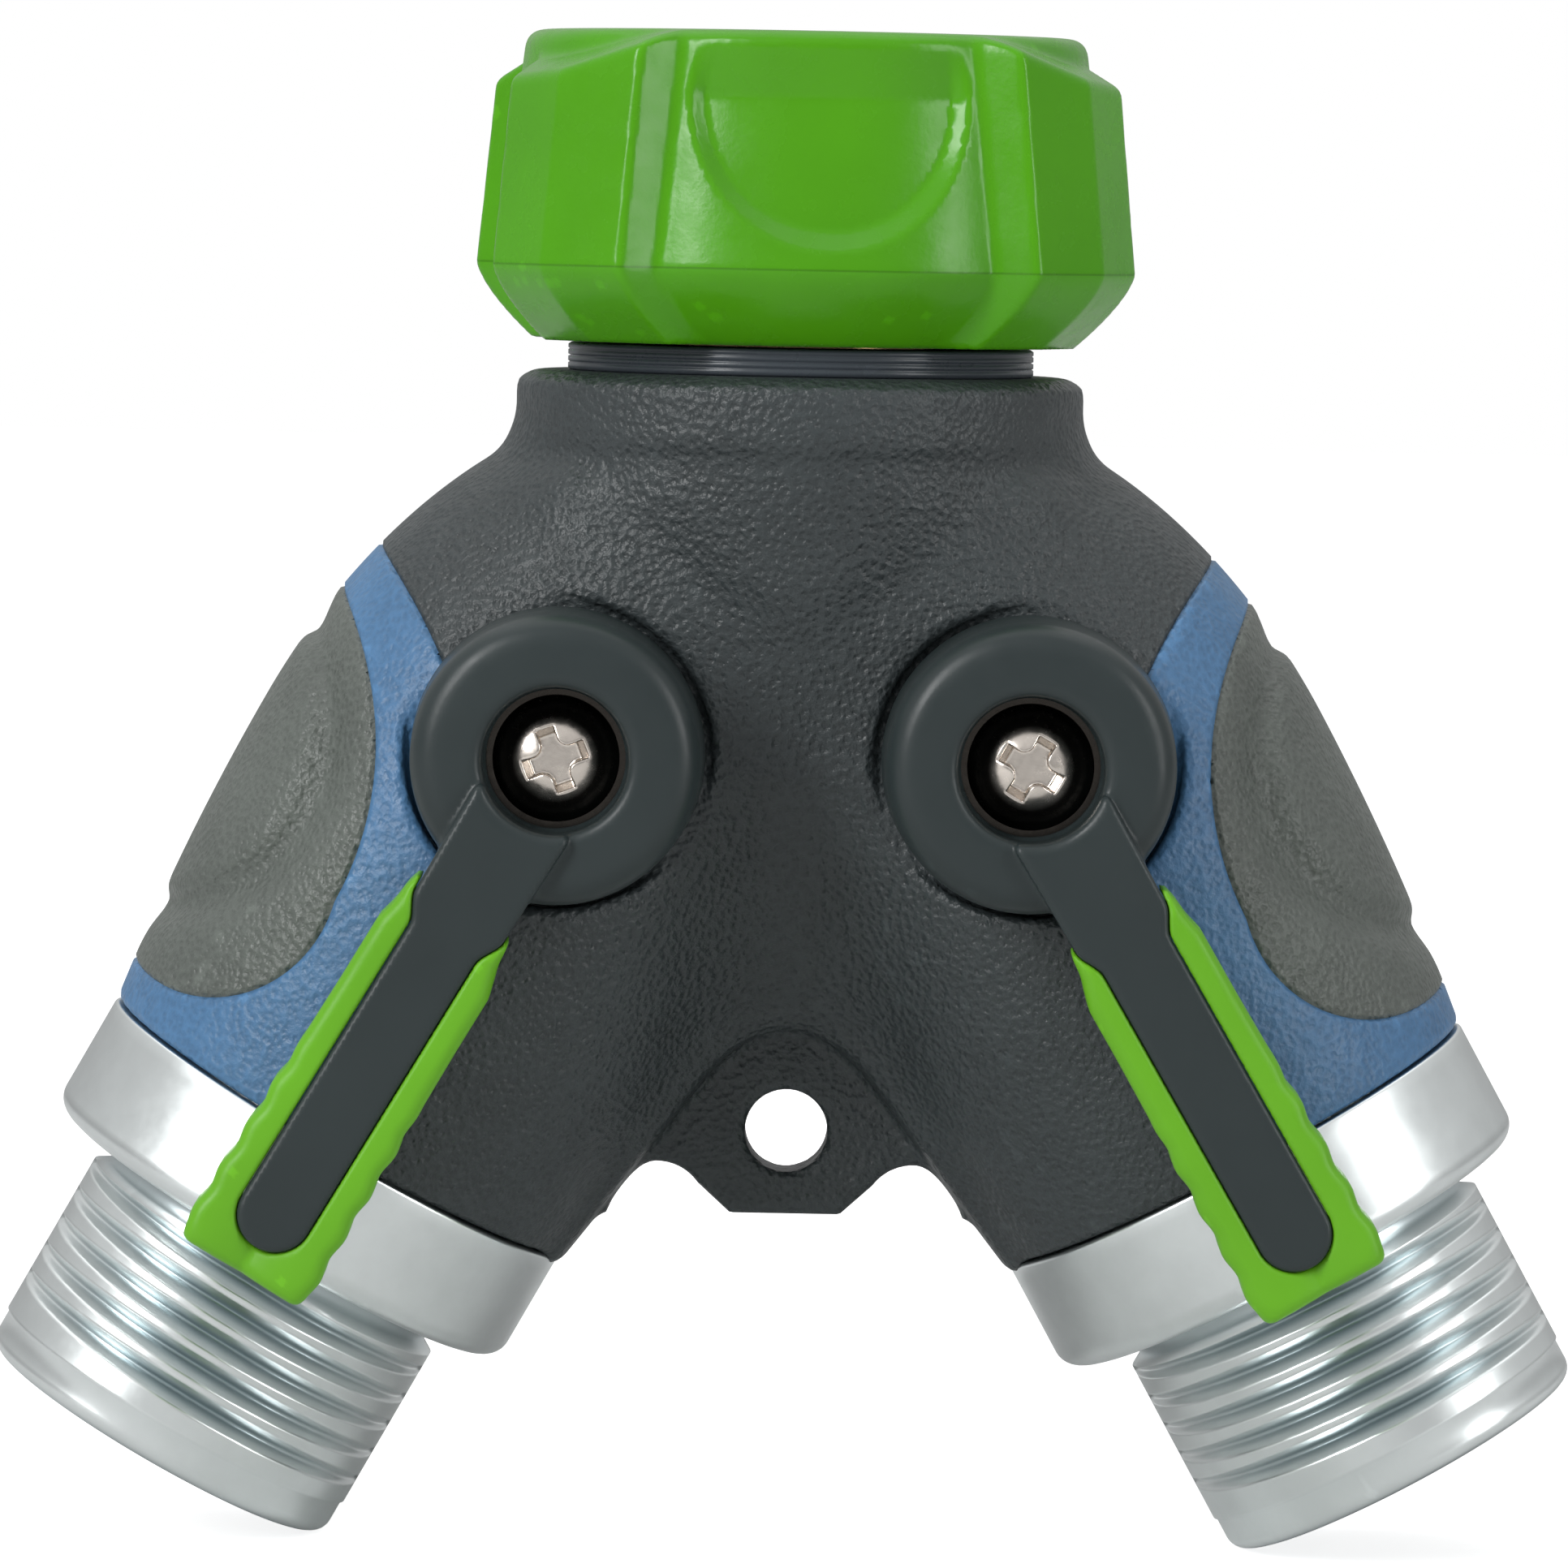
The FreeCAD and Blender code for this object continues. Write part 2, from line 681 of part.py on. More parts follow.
def outlet():
    """Ring, neck, threaded barrel and the shank that screws into the core."""
    ring_end = leg_end_t + ring_h
    neck_end = thread_start_t()
    tip = neck_end + barrel_h
    thread_end = neck_end + (male_grooves + 0.5) * thread_pitch
    plug_top = pivot_t + seat_outer_offset
    plug_end = plug_top + plug_h
    plug_r = chamber_r - running
    nose_r = male_major_r - lead_step
    soft = ring_round * (1 - math.sqrt(0.5))
    tip_soft = tip_round * (1 - math.sqrt(0.5))
    barrel = turned([
        (outlet_bore_r, -plug_top), (plug_r, -plug_top), (plug_r, -plug_end),
        (spigot_r, -plug_end), (spigot_r, -leg_end_t), (leg_end_r, -leg_end_t),
        (leg_end_r, -(ring_end - ring_round)),
        ((leg_end_r - soft, -(ring_end - soft)), (leg_end_r - ring_round, -ring_end)),
        (outlet_neck_r, -ring_end), (outlet_neck_r, -neck_end),
        (male_major_r, -(neck_end + thread_run_in)), (male_major_r, -thread_end),
        (nose_r, -(thread_end + lead_step)), (nose_r, -(tip - tip_round)),
        ((nose_r - tip_soft, -(tip - tip_soft)), (nose_r - tip_round, -tip)),
        (mouth_bore_r, -tip), (mouth_bore_r, -(tip - mouth_bore_depth)),
        (outlet_bore_r, -(tip - mouth_bore_depth - mouth_cone_h)),
    ])
    for groove in thread_grooves():
        barrel = barrel.cut(groove)
    return barrel


def outlet_seal():
    return ring(gasket_r, gasket_bore_r, -leg_end_t, -leg_end_t + gasket_h)


# ---- ball valve --------------------------------------------------------------------------------------
def ball_seat(offset_sign):
    """Seal ring on one side of the ball, dished to fit it."""
    z0, z1 = sorted((offset_sign * seat_inner_offset, offset_sign * seat_outer_offset))
    seat = ring(chamber_r, water_r + seat_bore_step, z0, z1)
    return to_pivot(seat.cut(Part.makeSphere(ball_r + seat_gap)))


def ball():
    """Bored ball with a slot for the stem's tongue."""
    body = Part.makeSphere(ball_r)
    body = body.cut(Part.makeCylinder(water_r, 2 * ball_r, V(0, 0, -ball_r)))
    slot = Part.makeBox(2 * ball_r, tongue_depth, tongue_w, V(-ball_r, -ball_r, -tongue_w / 2))
    return to_pivot(body.cut(slot))


def valve_stem():
    """Stem from the ball's slot to the lever: tongue, inside flange, seal grooves and square."""
    start = ball_r - tongue_depth
    tongue_fit = tongue_w - 2 * running
    tongue = Part.makeBox(2 * valve_stem_r, stem_shoulder[0] - start, tongue_fit,
                          V(-valve_stem_r, -stem_shoulder[0], -tongue_fit / 2))
    disc = toward_front(stem_flange_side_r, stem_shoulder[0], stem_shoulder[1])
    shaft = toward_front(valve_stem_r, stem_shoulder[1], stem_top)
    body = tongue.fuse(disc).fuse(shaft)
    for place in seal_places:
        groove = toward_front(valve_stem_r, place, place + seal_groove_w)
        body = body.cut(groove.cut(toward_front(seal_core_r(), place, place + seal_groove_w)))
    square = Part.makeBox(square_w, stem_top - square_start, square_w,
                          V(-square_w / 2, -stem_top, -square_w / 2))
    flats = toward_front(valve_stem_r, square_start, stem_top).cut(square)
    body = body.cut(flats)
    body = body.cut(toward_front(screw_r, screw_seat() - screw_length - screw_tip_gap, stem_top))
    return to_pivot(body)


def screw_seat():
    """Underside of the screw's head, distance from the leg's axis."""
    return hub_web[1] + screw_washer_h


def seal_core_r():
    """Bottom of a seal's groove."""
    return valve_stem_r - 2 * seal_cord_r


def stem_seals():
    rings = []
    for place in seal_places:
        centre = V(0, -(place + seal_groove_w / 2), 0)
        ring_r = valve_stem_r - seal_cord_r + seal_gap
        rings.append(Part.makeTorus(ring_r, seal_cord_r, centre, V(0, -1, 0)))
    return to_pivot(Part.makeCompound(rings))


def lean(shape):
    """Turns the lever's pieces by the arm's lean."""
    turned_shape = shape.copy()
    turned_shape.rotate(V(0, 0, 0), V(0, 1, 0), -arm_lean)
    return turned_shape


def arm_outline(width, width_tip, length):
    """Arm seen from the front, straight down from the pivot, with a round tip."""
    half = width / 2
    tip = width_tip / 2
    return [
        (-half, 0), (half, 0), (half, -grip_start), (tip, -grip_start - arm_neck_h),
        (tip, tip - length), ((0, -length), (-tip, tip - length)),
        (-tip, -grip_start - arm_neck_h), (-half, -grip_start),
    ]


def hub():
    """Round hub, tapered a little, with a rounded front edge."""
    crown = hub_r - hub_face_r
    soft = crown * (1 - math.sqrt(0.5))
    body = turned([
        (0, hub_rear), (hub_r, hub_rear), (hub_r - hub_taper, hub_front - crown),
        ((hub_r - soft, hub_front - soft), (hub_face_r, hub_front)), (0, hub_front),
    ])
    body.rotate(V(0, 0, 0), V(1, 0, 0), 90)
    return body


def lever():
    """Hub and arm in one, with the stop pin's track and a square socket for the stem."""
    arm = prism(arm_outline(arm_w, arm_w_tip, arm_tongue_end), -arm_front, -arm_back)
    body = lean(hub().fuse(arm))
    body = body.cut(stop_track())
    body = body.cut(toward_front(recess_r, hub_web[1], hub_front))
    socket_w = square_w + 2 * running
    socket = Part.makeBox(socket_w, hub_web[1] - hub_rear, socket_w,
                          V(-socket_w / 2, -hub_web[1], -socket_w / 2))
    body = body.cut(socket)
    body = body.cut(toward_front(valve_stem_r + 2 * running, hub_rear, square_start))
    return to_pivot(body)


def stop_track():
    """Space under the hub for the stop pin: a quarter turn, the pin's own width and some slack."""
    pin_angle = math.degrees(math.asin((stop_pin_r + pin_gap) / stop_pin_place))
    span = valve_turn + 2 * (pin_angle + turn_slack)
    start = stop_pin_angle() - valve_turn - pin_angle - turn_slack
    track = toward_front(hub_cavity_r, hub_rear, hub_web[0])
    track = track.cut(toward_front(track_core_r, hub_rear, hub_web[0]))
    return track.common(sector_block(start, span))


def stop_pin_angle():
    """Angle of the stop pin seen from the front, from the arm's direction, turning outward."""
    d = stop_direction()
    return math.degrees(math.atan2(d.x, -d.z)) % 360 - 360


def sector_block(start, span):
    """A wedge about the turning axis, angles from the arm's direction turning outward."""
    far = 2 * hub_r
    points = [V(0, -hub_front, 0)]
    steps = 6
    for i in range(steps + 1):
        a = math.radians(start + span * i / steps)
        points.append(V(far * math.sin(a), -hub_front, -far * math.cos(a)))
    points.append(points[0])
    return Part.Face(Part.makePolygon(points)).extrude(V(0, hub_front, 0))


def lever_grip():
    """Green grip: a U round the arm's lower part, with finger bumps on its outer edges."""
    half = grip_w / 2
    end = -arm_length
    start = -grip_start
    wide = half + grip_tip_flare
    outline = [
        (grip_corner - half, start), (-half, start - grip_corner_h), (-wide, end + grip_tip_corner),
        (grip_tip_corner - wide, end), (wide - grip_tip_corner, end), (wide, end + grip_tip_corner),
        (half, start - grip_corner_h), (half - grip_corner, start),
    ]
    block = prism(outline, -grip_front, -grip_back)
    bump_h = grip_front - grip_back - grip_bump_r
    for i in range(grip_bumps):
        z = end + (i + 1) * grip_bump_pitch
        for x in (grip_bump_r - grip_bump_out - half, half - grip_bump_r + grip_bump_out):
            foot = V(x, -grip_back - grip_bump_r / 2, z)
            block = block.fuse(Part.makeCylinder(grip_bump_r, bump_h, foot, V(0, -1, 0)))
    inner = prism(arm_outline(arm_w, arm_w_tip, arm_tongue_end), -grip_front, -grip_back)
    return to_pivot(lean(block.cut(inner)))


def lever_washer():
    washer = toward_front(recess_r - 2 * pin_gap, hub_web[1], screw_seat())
    return to_pivot(washer.cut(toward_front(screw_r + pin_gap, hub_web[1], screw_seat())))


def lever_screw(side_name):
    """Domed cross-head screw."""
    seat = screw_seat()
    sag = screw_head_h
    dome_r = (screw_head_r ** 2 + sag ** 2) / (2 * sag)
    dome = Part.makeSphere(dome_r, V(0, -(seat + sag - dome_r), 0))
    head = dome.common(toward_front(screw_head_r, seat, seat + sag))
    body = head.fuse(toward_front(screw_r - seal_gap, seat - screw_length, seat))
    cross = cross_slot(seat + sag, 0).fuse(cross_slot(seat + sag, 90))
    body = body.cut(cross)
    body.rotate(V(0, 0, 0), V(0, 1, 0), screw_turns[side_name])
    return to_pivot(body)


def cross_slot(top, angle):
    slot = Part.makeBox(cross_span, cross_depth, cross_w, V(-cross_span / 2, -top, -cross_w / 2))
    slot.rotate(V(0, 0, 0), V(0, 1, 0), angle)
    return slot


# ---- write every node ---------------------------------------------------------------------------------
def build():
    core = valve_body()
    band, pad = inlays()
    save("valve_body", core)
    save("body_cover", body_cover(band, pad))
    save("swivel_collar", swivel_collar())
    save("inlet_stem", inlet_stem())
    save("inlet_stem_seal", inlet_stem_seal())
    save("inlet_washer", inlet_washer())
    save("nut_insert", turned_nut(nut_insert()))
    save("nut_grip", turned_nut(nut_grip()))
    for name, side in SIDES.items():
        save("side_band_" + name, handed(band, side))
        save("grip_pad_" + name, handed(pad, side))
        save("outlet_" + name, on_leg(outlet(), side))
        save("outlet_seal_" + name, on_leg(outlet_seal(), side))
        save("ball_seat_upper_" + name, on_leg(ball_seat(1), side))
        save("ball_seat_lower_" + name, on_leg(ball_seat(-1), side))
        save("ball_" + name, handed(ball(), side))
        save("valve_stem_" + name, handed(valve_stem(), side))
        save("stem_seals_" + name, handed(stem_seals(), side))
        pin = to_pivot(stop_pin(stop_pin_tall))
        save("stop_pin_" + name, handed(pin, side))
        save("lever_" + name, handed(lever(), side))
        save("lever_grip_" + name, handed(lever_grip(), side))
        save("lever_washer_" + name, handed(lever_washer(), side))
        save("lever_screw_" + name, on_leg(lever_screw(name), side))


build()
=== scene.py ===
import json
import math

import bpy
import numpy as np
from mathutils import Matrix, Vector


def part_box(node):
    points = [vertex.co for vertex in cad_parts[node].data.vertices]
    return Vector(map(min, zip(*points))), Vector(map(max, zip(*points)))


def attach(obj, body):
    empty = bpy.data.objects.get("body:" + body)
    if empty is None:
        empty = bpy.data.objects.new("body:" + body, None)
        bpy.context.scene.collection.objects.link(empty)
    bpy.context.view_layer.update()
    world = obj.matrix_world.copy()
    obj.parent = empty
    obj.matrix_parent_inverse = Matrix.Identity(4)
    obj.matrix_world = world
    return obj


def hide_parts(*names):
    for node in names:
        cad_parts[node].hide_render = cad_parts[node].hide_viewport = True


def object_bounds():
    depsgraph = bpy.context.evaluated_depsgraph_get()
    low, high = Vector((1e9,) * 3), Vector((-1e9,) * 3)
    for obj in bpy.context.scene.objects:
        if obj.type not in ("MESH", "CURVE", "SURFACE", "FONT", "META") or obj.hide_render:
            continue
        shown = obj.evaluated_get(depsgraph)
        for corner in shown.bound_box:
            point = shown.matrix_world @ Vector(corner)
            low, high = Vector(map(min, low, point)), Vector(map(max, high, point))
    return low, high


# Looks of the two-way hose splitter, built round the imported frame.
# Shapes are worked out in millimetres, as in the part's source, and made in metres.

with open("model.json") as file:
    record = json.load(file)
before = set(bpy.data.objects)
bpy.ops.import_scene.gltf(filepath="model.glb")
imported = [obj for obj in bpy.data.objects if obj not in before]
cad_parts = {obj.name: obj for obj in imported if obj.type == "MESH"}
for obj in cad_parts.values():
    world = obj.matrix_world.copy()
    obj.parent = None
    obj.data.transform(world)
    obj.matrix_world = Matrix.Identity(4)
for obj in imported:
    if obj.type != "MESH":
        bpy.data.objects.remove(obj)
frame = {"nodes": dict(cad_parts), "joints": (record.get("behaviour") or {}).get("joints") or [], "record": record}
cad_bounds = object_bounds()

MM = 0.001
joints = {joint["name"]: joint for joint in frame["joints"]}
mounts = {mount["name"]: mount for mount in frame["record"]["mounts"]}

# ---- places read from the frame ------------------------------------------------------------
right_axis = mounts["outlet_right_thread"]["axis"]
right_place = Vector(mounts["outlet_right_thread"]["pos_m"]) / MM
right_pivot = Vector(joints["right_valve_turn"]["pos_m"]) / MM
leg_angle = math.atan2(right_axis[0], -right_axis[2])
leg_sin = math.sin(leg_angle)
leg_cos = math.cos(leg_angle)
leg_meet_z = right_place.z + right_place.x * leg_cos / leg_sin
hole_z = mounts["hang_hole"]["pos_m"][2] / MM
hole_r = mounts["hang_hole"]["dims"]["r_mm"]
nose_r = mounts["outlet_right_thread"]["dims"]["r_mm"]
nose_length = mounts["outlet_right_thread"]["dims"]["length_mm"]
collar_low, collar_high = (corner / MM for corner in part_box("swivel_collar"))
ring_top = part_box("outlet_right")[1] / MM

# ---- shape of the cover, as in the part's source -----------------------------------------------
leg_r = 19.4
leg_full_t = 40.0
shoulder_run = 32.3
leg_end_t = 63.65
leg_end_r = ring_top.y
flange_r = 19.6
flange_top_z = collar_low.z
flange_bottom_z = -17.8
neck_r = 19.35
neck_lean = 0.17              # how fast the neck draws in below the flange
vee_x, vee_z = 4.5, -26.9
vee_slope = 0.82
web_top_z = -19.5
web_arch_r = 8.2
web_arch_z = hole_z - 1.0
tab_half_thick = 2.75
tab_bottom_z = -71.1
tab_half_w = 3.8
notch_x = 8.9
notch_r = 3.5
pocket_r = 10.4
pocket_floor = 16.0
neck_hole_r = 9.6
leg_hole_r = 11.4

# outlines on a leg, as (distance along it, distance off its axis)
band_points = ((26.3, 21.0), (29.9, 12.1), (36.0, 4.8), (44.0, 1.4))
pad_points = ((29.9, 21.0), (36.0, 12.8), (49.0, 8.1), (57.2, 9.9), (59.9, 21.0))
seam_half_w = 0.24
seam_depth = 0.2
oval_t = 45.3
oval_half_length = 10.2
oval_half_angle = 44.0
oval_groove = 0.95

SIDES = {"left": -1, "right": 1}


# ---- fields -------------------------------------------------------------------------------------
def blend_min(a, b, k):
    """Union of two fields, with a fillet about k wide."""
    h = np.clip(0.5 + 0.5 * (b - a) / k, 0.0, 1.0)
    return b + (a - b) * h - k * h * (1.0 - h)


def blend_max(a, b, k):
    """Common part of two fields, with a rounded edge about k wide."""
    return -blend_min(-a, -b, k)


def leg_coords(x, z, side):
    """Distance along a leg from the crossing, and distance off its axis in the XZ plane."""
    out = side * x
    down = leg_meet_z - z
    return out * leg_sin + down * leg_cos, out * leg_cos - down * leg_sin


def leg_field(x, y, z, side):
    """Egg-shaped shoulder that runs into a shallow barrel, cut off at the outlet's ring."""
    t, q = leg_coords(x, z, side)
    r = np.hypot(q, y)
    dt = t - leg_full_t
    k0 = np.hypot(dt / shoulder_run, r / leg_r)
    k1 = np.hypot(dt / shoulder_run ** 2, r / leg_r ** 2) + 1e-9
    shoulder = k0 * (k0 - 1.0) / k1
    drop = (leg_r - leg_end_r) * (dt / (leg_end_t - leg_full_t)) ** 2
    barrel = r - (leg_r - drop)
    body = np.where(dt < 0, shoulder, barrel)
    return blend_max(body, t - leg_end_t, 0.7)


def neck_field(x, y, z):
    """Flange, and the neck that narrows to a V on the front and back."""
    rho = np.hypot(x, y)
    flange = blend_max(blend_max(rho - flange_r, z - flange_top_z, 1.9), flange_bottom_z - z, 1.2)
    lean = neck_lean * np.maximum(flange_bottom_z - z, 0.0)
    neck = np.maximum((rho - neck_r + lean) * 0.97, z - flange_top_z + 1.0)
    neck = blend_max(neck, -30.0 - z, 4.0)
    vee = (np.abs(x) - vee_x - (z - vee_z) / vee_slope) * 0.63
    neck = blend_max(neck, vee, 2.2)
    return blend_min(flange, neck, 0.9)


def web_field(x, y, z):
    """Filled crotch between the legs, thinning down to the arch above the tab."""
    depth = np.interp(z, (-62.0, -58.0, -50.0, -40.0, -30.0, -22.0), (6.2, 6.8, 11.2, 15.6, 17.4, 17.6))
    face = (np.abs(y) - depth + 0.016 * x ** 2) * 0.9
    side = np.abs(x)
    turn_x = web_arch_r * math.sin(math.radians(45))
    arch = web_arch_z + np.sqrt(np.maximum(web_arch_r ** 2 - np.minimum(side, turn_x) ** 2, 0.0))
    arch = arch - np.maximum(side - turn_x, 0.0) * 1.15
    below = (arch - z) * 0.75
    web = blend_max(face, below, 1.0)
    web = blend_max(web, z - web_top_z, 3.0)
    return blend_max(web, side - 17.0, 3.0)


def tab_field(x, y, z):
    """Hang tab with a bite each side and a chamfered foot."""
    side = np.abs(x)
    bite = np.hypot(side - notch_x, z - tab_bottom_z) - notch_r
    slope = np.maximum((z - tab_bottom_z) * 0.74 - (side - tab_half_w) * 0.67, side - 7.0)
    outline = np.maximum(tab_bottom_z - z, -np.minimum(bite, slope))
    outline = np.maximum(outline, side - 15.0)
    tab = blend_max(np.abs(y) - tab_half_thick, outline, 0.7)
    return np.maximum(tab, z + 52.0)


def cover_field(x, y, z):
    """The whole rubber outside, bands and pads included."""
    legs = blend_min(leg_field(x, y, z, 1), leg_field(x, y, z, -1), 3.0)
    body = blend_min(legs, web_field(x, y, z), 4.5)
    body = blend_min(body, neck_field(x, y, z), 2.2)
    body = blend_min(body, tab_field(x, y, z), 0.9)
    body = blend_max(body, hole_r - np.hypot(x, z - hole_z), 0.5)
    pocket = np.maximum(np.hypot(np.abs(x) - right_pivot.x, z - right_pivot.z) - pocket_r,
                        y + pocket_floor)
    body = blend_max(body, -pocket, 0.8)
    neck_hole = np.maximum(np.hypot(x, y) - neck_hole_r, -26.0 - z)
    body = np.maximum(body, -neck_hole)
    for side in SIDES.values():
        t, q = leg_coords(x, z, side)
        leg_hole = np.maximum(np.hypot(q, y) - leg_hole_r, 24.0 - t)
        body = np.maximum(body, -leg_hole)
    return body


# ---- meshing ------------------------------------------------------------------------------------
def slope_of(field, p, h=0.02):
    """Gradient of a field at points, by central differences."""
    grad = np.empty_like(p)
    for axis in range(3):
        step = np.zeros(3)
        step[axis] = h
        ahead = field(*(p + step).T)
        behind = field(*(p - step).T)
        grad[:, axis] = (ahead - behind) / (2 * h)
    return grad


def net_of(field, low, high, step):
    """Meshes a field's zero surface: one point per mixed cell, settled onto the surface."""
    axes = [np.arange(low[i] - step, high[i] + 2 * step, step) for i in range(3)]
    grid = np.empty([len(a) for a in axes], np.float32)
    for i, x in enumerate(axes[0]):
        yy, zz = np.meshgrid(axes[1], axes[2], indexing="ij")
        grid[i] = field(np.full_like(yy, x), yy, zz)
    inside = grid < 0
    shape = tuple(n - 1 for n in grid.shape)
    corners = [(i, j, k) for i in (0, 1) for j in (0, 1) for k in (0, 1)]
    count = np.zeros(shape, np.int8)
    for i, j, k in corners:
        count += inside[i:i + shape[0], j:j + shape[1], k:k + shape[2]]
    cells = np.argwhere((count > 0) & (count < 8))
    total = np.zeros((len(cells), 3))
    hits = np.zeros(len(cells))
    for corner in corners:
        for axis in range(3):
            if corner[axis]:
                continue
            a = cells + corner
            b = a.copy()
            b[:, axis] += 1
            fa = grid[tuple(a.T)].astype(float)
            fb = grid[tuple(b.T)].astype(float)
            mixed = (fa < 0) != (fb < 0)
            share = np.where(mixed, fa / np.where(mixed, fa - fb, 1.0), 0.0)
            place = a.astype(float)
            place[:, axis] += share
            total[mixed] += place[mixed]
            hits[mixed] += 1
    start = np.array([a[0] for a in axes])
    points = start + step * total / hits[:, None]
    number = np.full(shape, -1, np.int64)
    number[tuple(cells.T)] = np.arange(len(cells))
    quads = []
    for axis in range(3):
        u, v = (axis + 1) % 3, (axis + 2) % 3
        near = [slice(None)] * 3
        far = [slice(None)] * 3
        near[axis] = slice(0, -1)
        far[axis] = slice(1, None)
        edges = np.argwhere(inside[tuple(near)] != inside[tuple(far)])
        edges = edges[(edges[:, u] > 0) & (edges[:, v] > 0)]
        edges = edges[(edges[:, u] < shape[u]) & (edges[:, v] < shape[v])]
        ring = []
        for du, dv in ((-1, -1), (0, -1), (0, 0), (-1, 0)):
            cell = edges.copy()
            cell[:, u] += du
            cell[:, v] += dv
            ring.append(number[tuple(cell.T)])
        quad = np.stack(ring, 1)
        flip = ~inside[tuple(edges.T)]
        quad[flip] = quad[flip][:, ::-1]
        quads.append(quad)
    points = settle(field, points, step)
    return points, np.concatenate(quads)


def settle(field, points, reach, rounds=5):
    """Moves points onto the zero surface along its slope, no further than reach in a round."""
    for _ in range(rounds):
        value = field(*points.T)
        grad = slope_of(field, points)
        size = np.maximum((grad ** 2).sum(1), 0.05)
        move = -(value / size)[:, None] * grad
        length = np.linalg.norm(move, axis=1)
        limit = np.minimum(1.0, 0.6 * reach / np.maximum(length, 1e-9))
        points = points + move * limit[:, None]
    return points


def triangles_of(quads):
    return np.concatenate([quads[:, [0, 1, 2]], quads[:, [0, 2, 3]]])


def cut_along(points, tris, marks, key, level):
    """Splits the triangles that a mark's level line crosses, so that the line becomes edges."""
    value = marks[key] - level
    above = value[tris] > 0
    n_above = above.sum(1)
    crossed = (n_above == 1) | (n_above == 2)
    lone_state = (n_above == 1)[:, None]
    lone = np.argmax(above == lone_state, axis=1)
    rows = np.flatnonzero(crossed)
    first = lone[rows]
    a = tris[rows, first]
    b = tris[rows, (first + 1) % 3]
    c = tris[rows, (first + 2) % 3]
    pairs = np.concatenate([np.stack([a, b], 1), np.stack([a, c], 1)])
    pairs.sort(axis=1)
    unique, back = np.unique(pairs, axis=0, return_inverse=True)
    back = back.reshape(-1)
    v0 = value[unique[:, 0]]
    v1 = value[unique[:, 1]]
    share = np.clip(v0 / (v0 - v1), 0.0, 1.0)[:, None]
    base = len(points)
    points = np.concatenate([points, points[unique[:, 0]] * (1 - share) + points[unique[:, 1]] * share])
    flat = share[:, 0]
    fresh = {}
    for name, mark in marks.items():
        added = mark[unique[:, 0]] * (1 - flat) + mark[unique[:, 1]] * flat
        fresh[name] = np.concatenate([mark, added])
    ab = base + back[:len(rows)]
    ac = base + back[len(rows):]
    parts = [tris[~crossed], np.stack([a, ab, ac], 1), np.stack([ab, b, c], 1), np.stack([ab, c, ac], 1)]
    return points, np.concatenate(parts), fresh


def normals_of(points, tris):
    """Area-weighted normals."""
    normal = np.zeros_like(points)
    face = np.cross(points[tris[:, 1]] - points[tris[:, 0]], points[tris[:, 2]] - points[tris[:, 0]])
    for corner in range(3):
        np.add.at(normal, tris[:, corner], face)
    return normal / np.maximum(np.linalg.norm(normal, axis=1), 1e-12)[:, None]


def make_object(name, points, faces, bright=None):
    """A smooth-shaded object in metres from millimetre points; unused points are left out."""
    faces = np.asarray(faces)
    used, compact = np.unique(faces, return_inverse=True)
    faces = compact.reshape(faces.shape)
    mesh = bpy.data.meshes.new(name)
    mesh.from_pydata((points[used] * MM).tolist(), [], faces.tolist())
    mesh.polygons.foreach_set("use_smooth", np.ones(len(mesh.polygons), bool))
    mesh.update()
    if bright is not None:
        layer = mesh.attributes.new("bright", "FLOAT", "POINT")
        layer.data.foreach_set("value", bright[used].astype(np.float32))
    obj = bpy.data.objects.new(name, mesh)
    bpy.context.scene.collection.objects.link(obj)
    return obj


def finish_piece(obj, body, nodes, material):
    """Rides the piece on its body, in place of CAD nodes, in its material."""
    obj.data.materials.append(material)
    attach(obj, body)
    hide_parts(*nodes)


# ---- outlines on a leg --------------------------------------------------------------------------
def arc_through(p0, pm, p1, n=40):
    """Points on the circle through three points, from the first to the last."""
    ax, ay = p0
    bx, by = pm
    cx, cy = p1
    d = 2 * (ax * (by - cy) + bx * (cy - ay) + cx * (ay - by))
    ux = ((ax ** 2 + ay ** 2) * (by - cy) + (bx ** 2 + by ** 2) * (cy - ay)
          + (cx ** 2 + cy ** 2) * (ay - by)) / d
    uy = ((ax ** 2 + ay ** 2) * (cx - bx) + (bx ** 2 + by ** 2) * (ax - cx)
          + (cx ** 2 + cy ** 2) * (bx - ax)) / d
    start = math.atan2(ay - uy, ax - ux)
    middle = (math.atan2(by - uy, bx - ux) - start) % math.tau
    sweep = (math.atan2(cy - uy, cx - ux) - start) % math.tau
    if middle > sweep:
        sweep -= math.tau
    radius = math.hypot(ax - ux, ay - uy)
    return [(ux + radius * math.cos(start + sweep * i / n), uy + radius * math.sin(start + sweep * i / n))
            for i in range(n + 1)]


def outline_distance(px, py, outline):
    """Signed distance to a closed outline, negative inside."""
    best = np.full(px.shape, np.inf)
    crossings = np.zeros(px.shape, bool)
    for (x0, y0), (x1, y1) in zip(outline, outline[1:] + outline[:1]):
        dx, dy = x1 - x0, y1 - y0
        size = dx * dx + dy * dy
        if size < 1e-12:
            continue
        along = np.clip(((px - x0) * dx + (py - y0) * dy) / size, 0, 1)
        best = np.minimum(best, np.hypot(px - x0 - along * dx, py - y0 - along * dy))
        spans = (y0 > py) != (y1 > py)
        if dy != 0:
            crossings ^= spans & (px < x0 + (py - y0) * dx / dy)
    return np.where(crossings, -best, best)


def band_outline():
    top, middle, hub, low = band_points
    far = leg_end_t + 6.0
    return arc_through(top, middle, hub) + [low, (far, low[1]), (far, 40.0), (top[0], 40.0)]


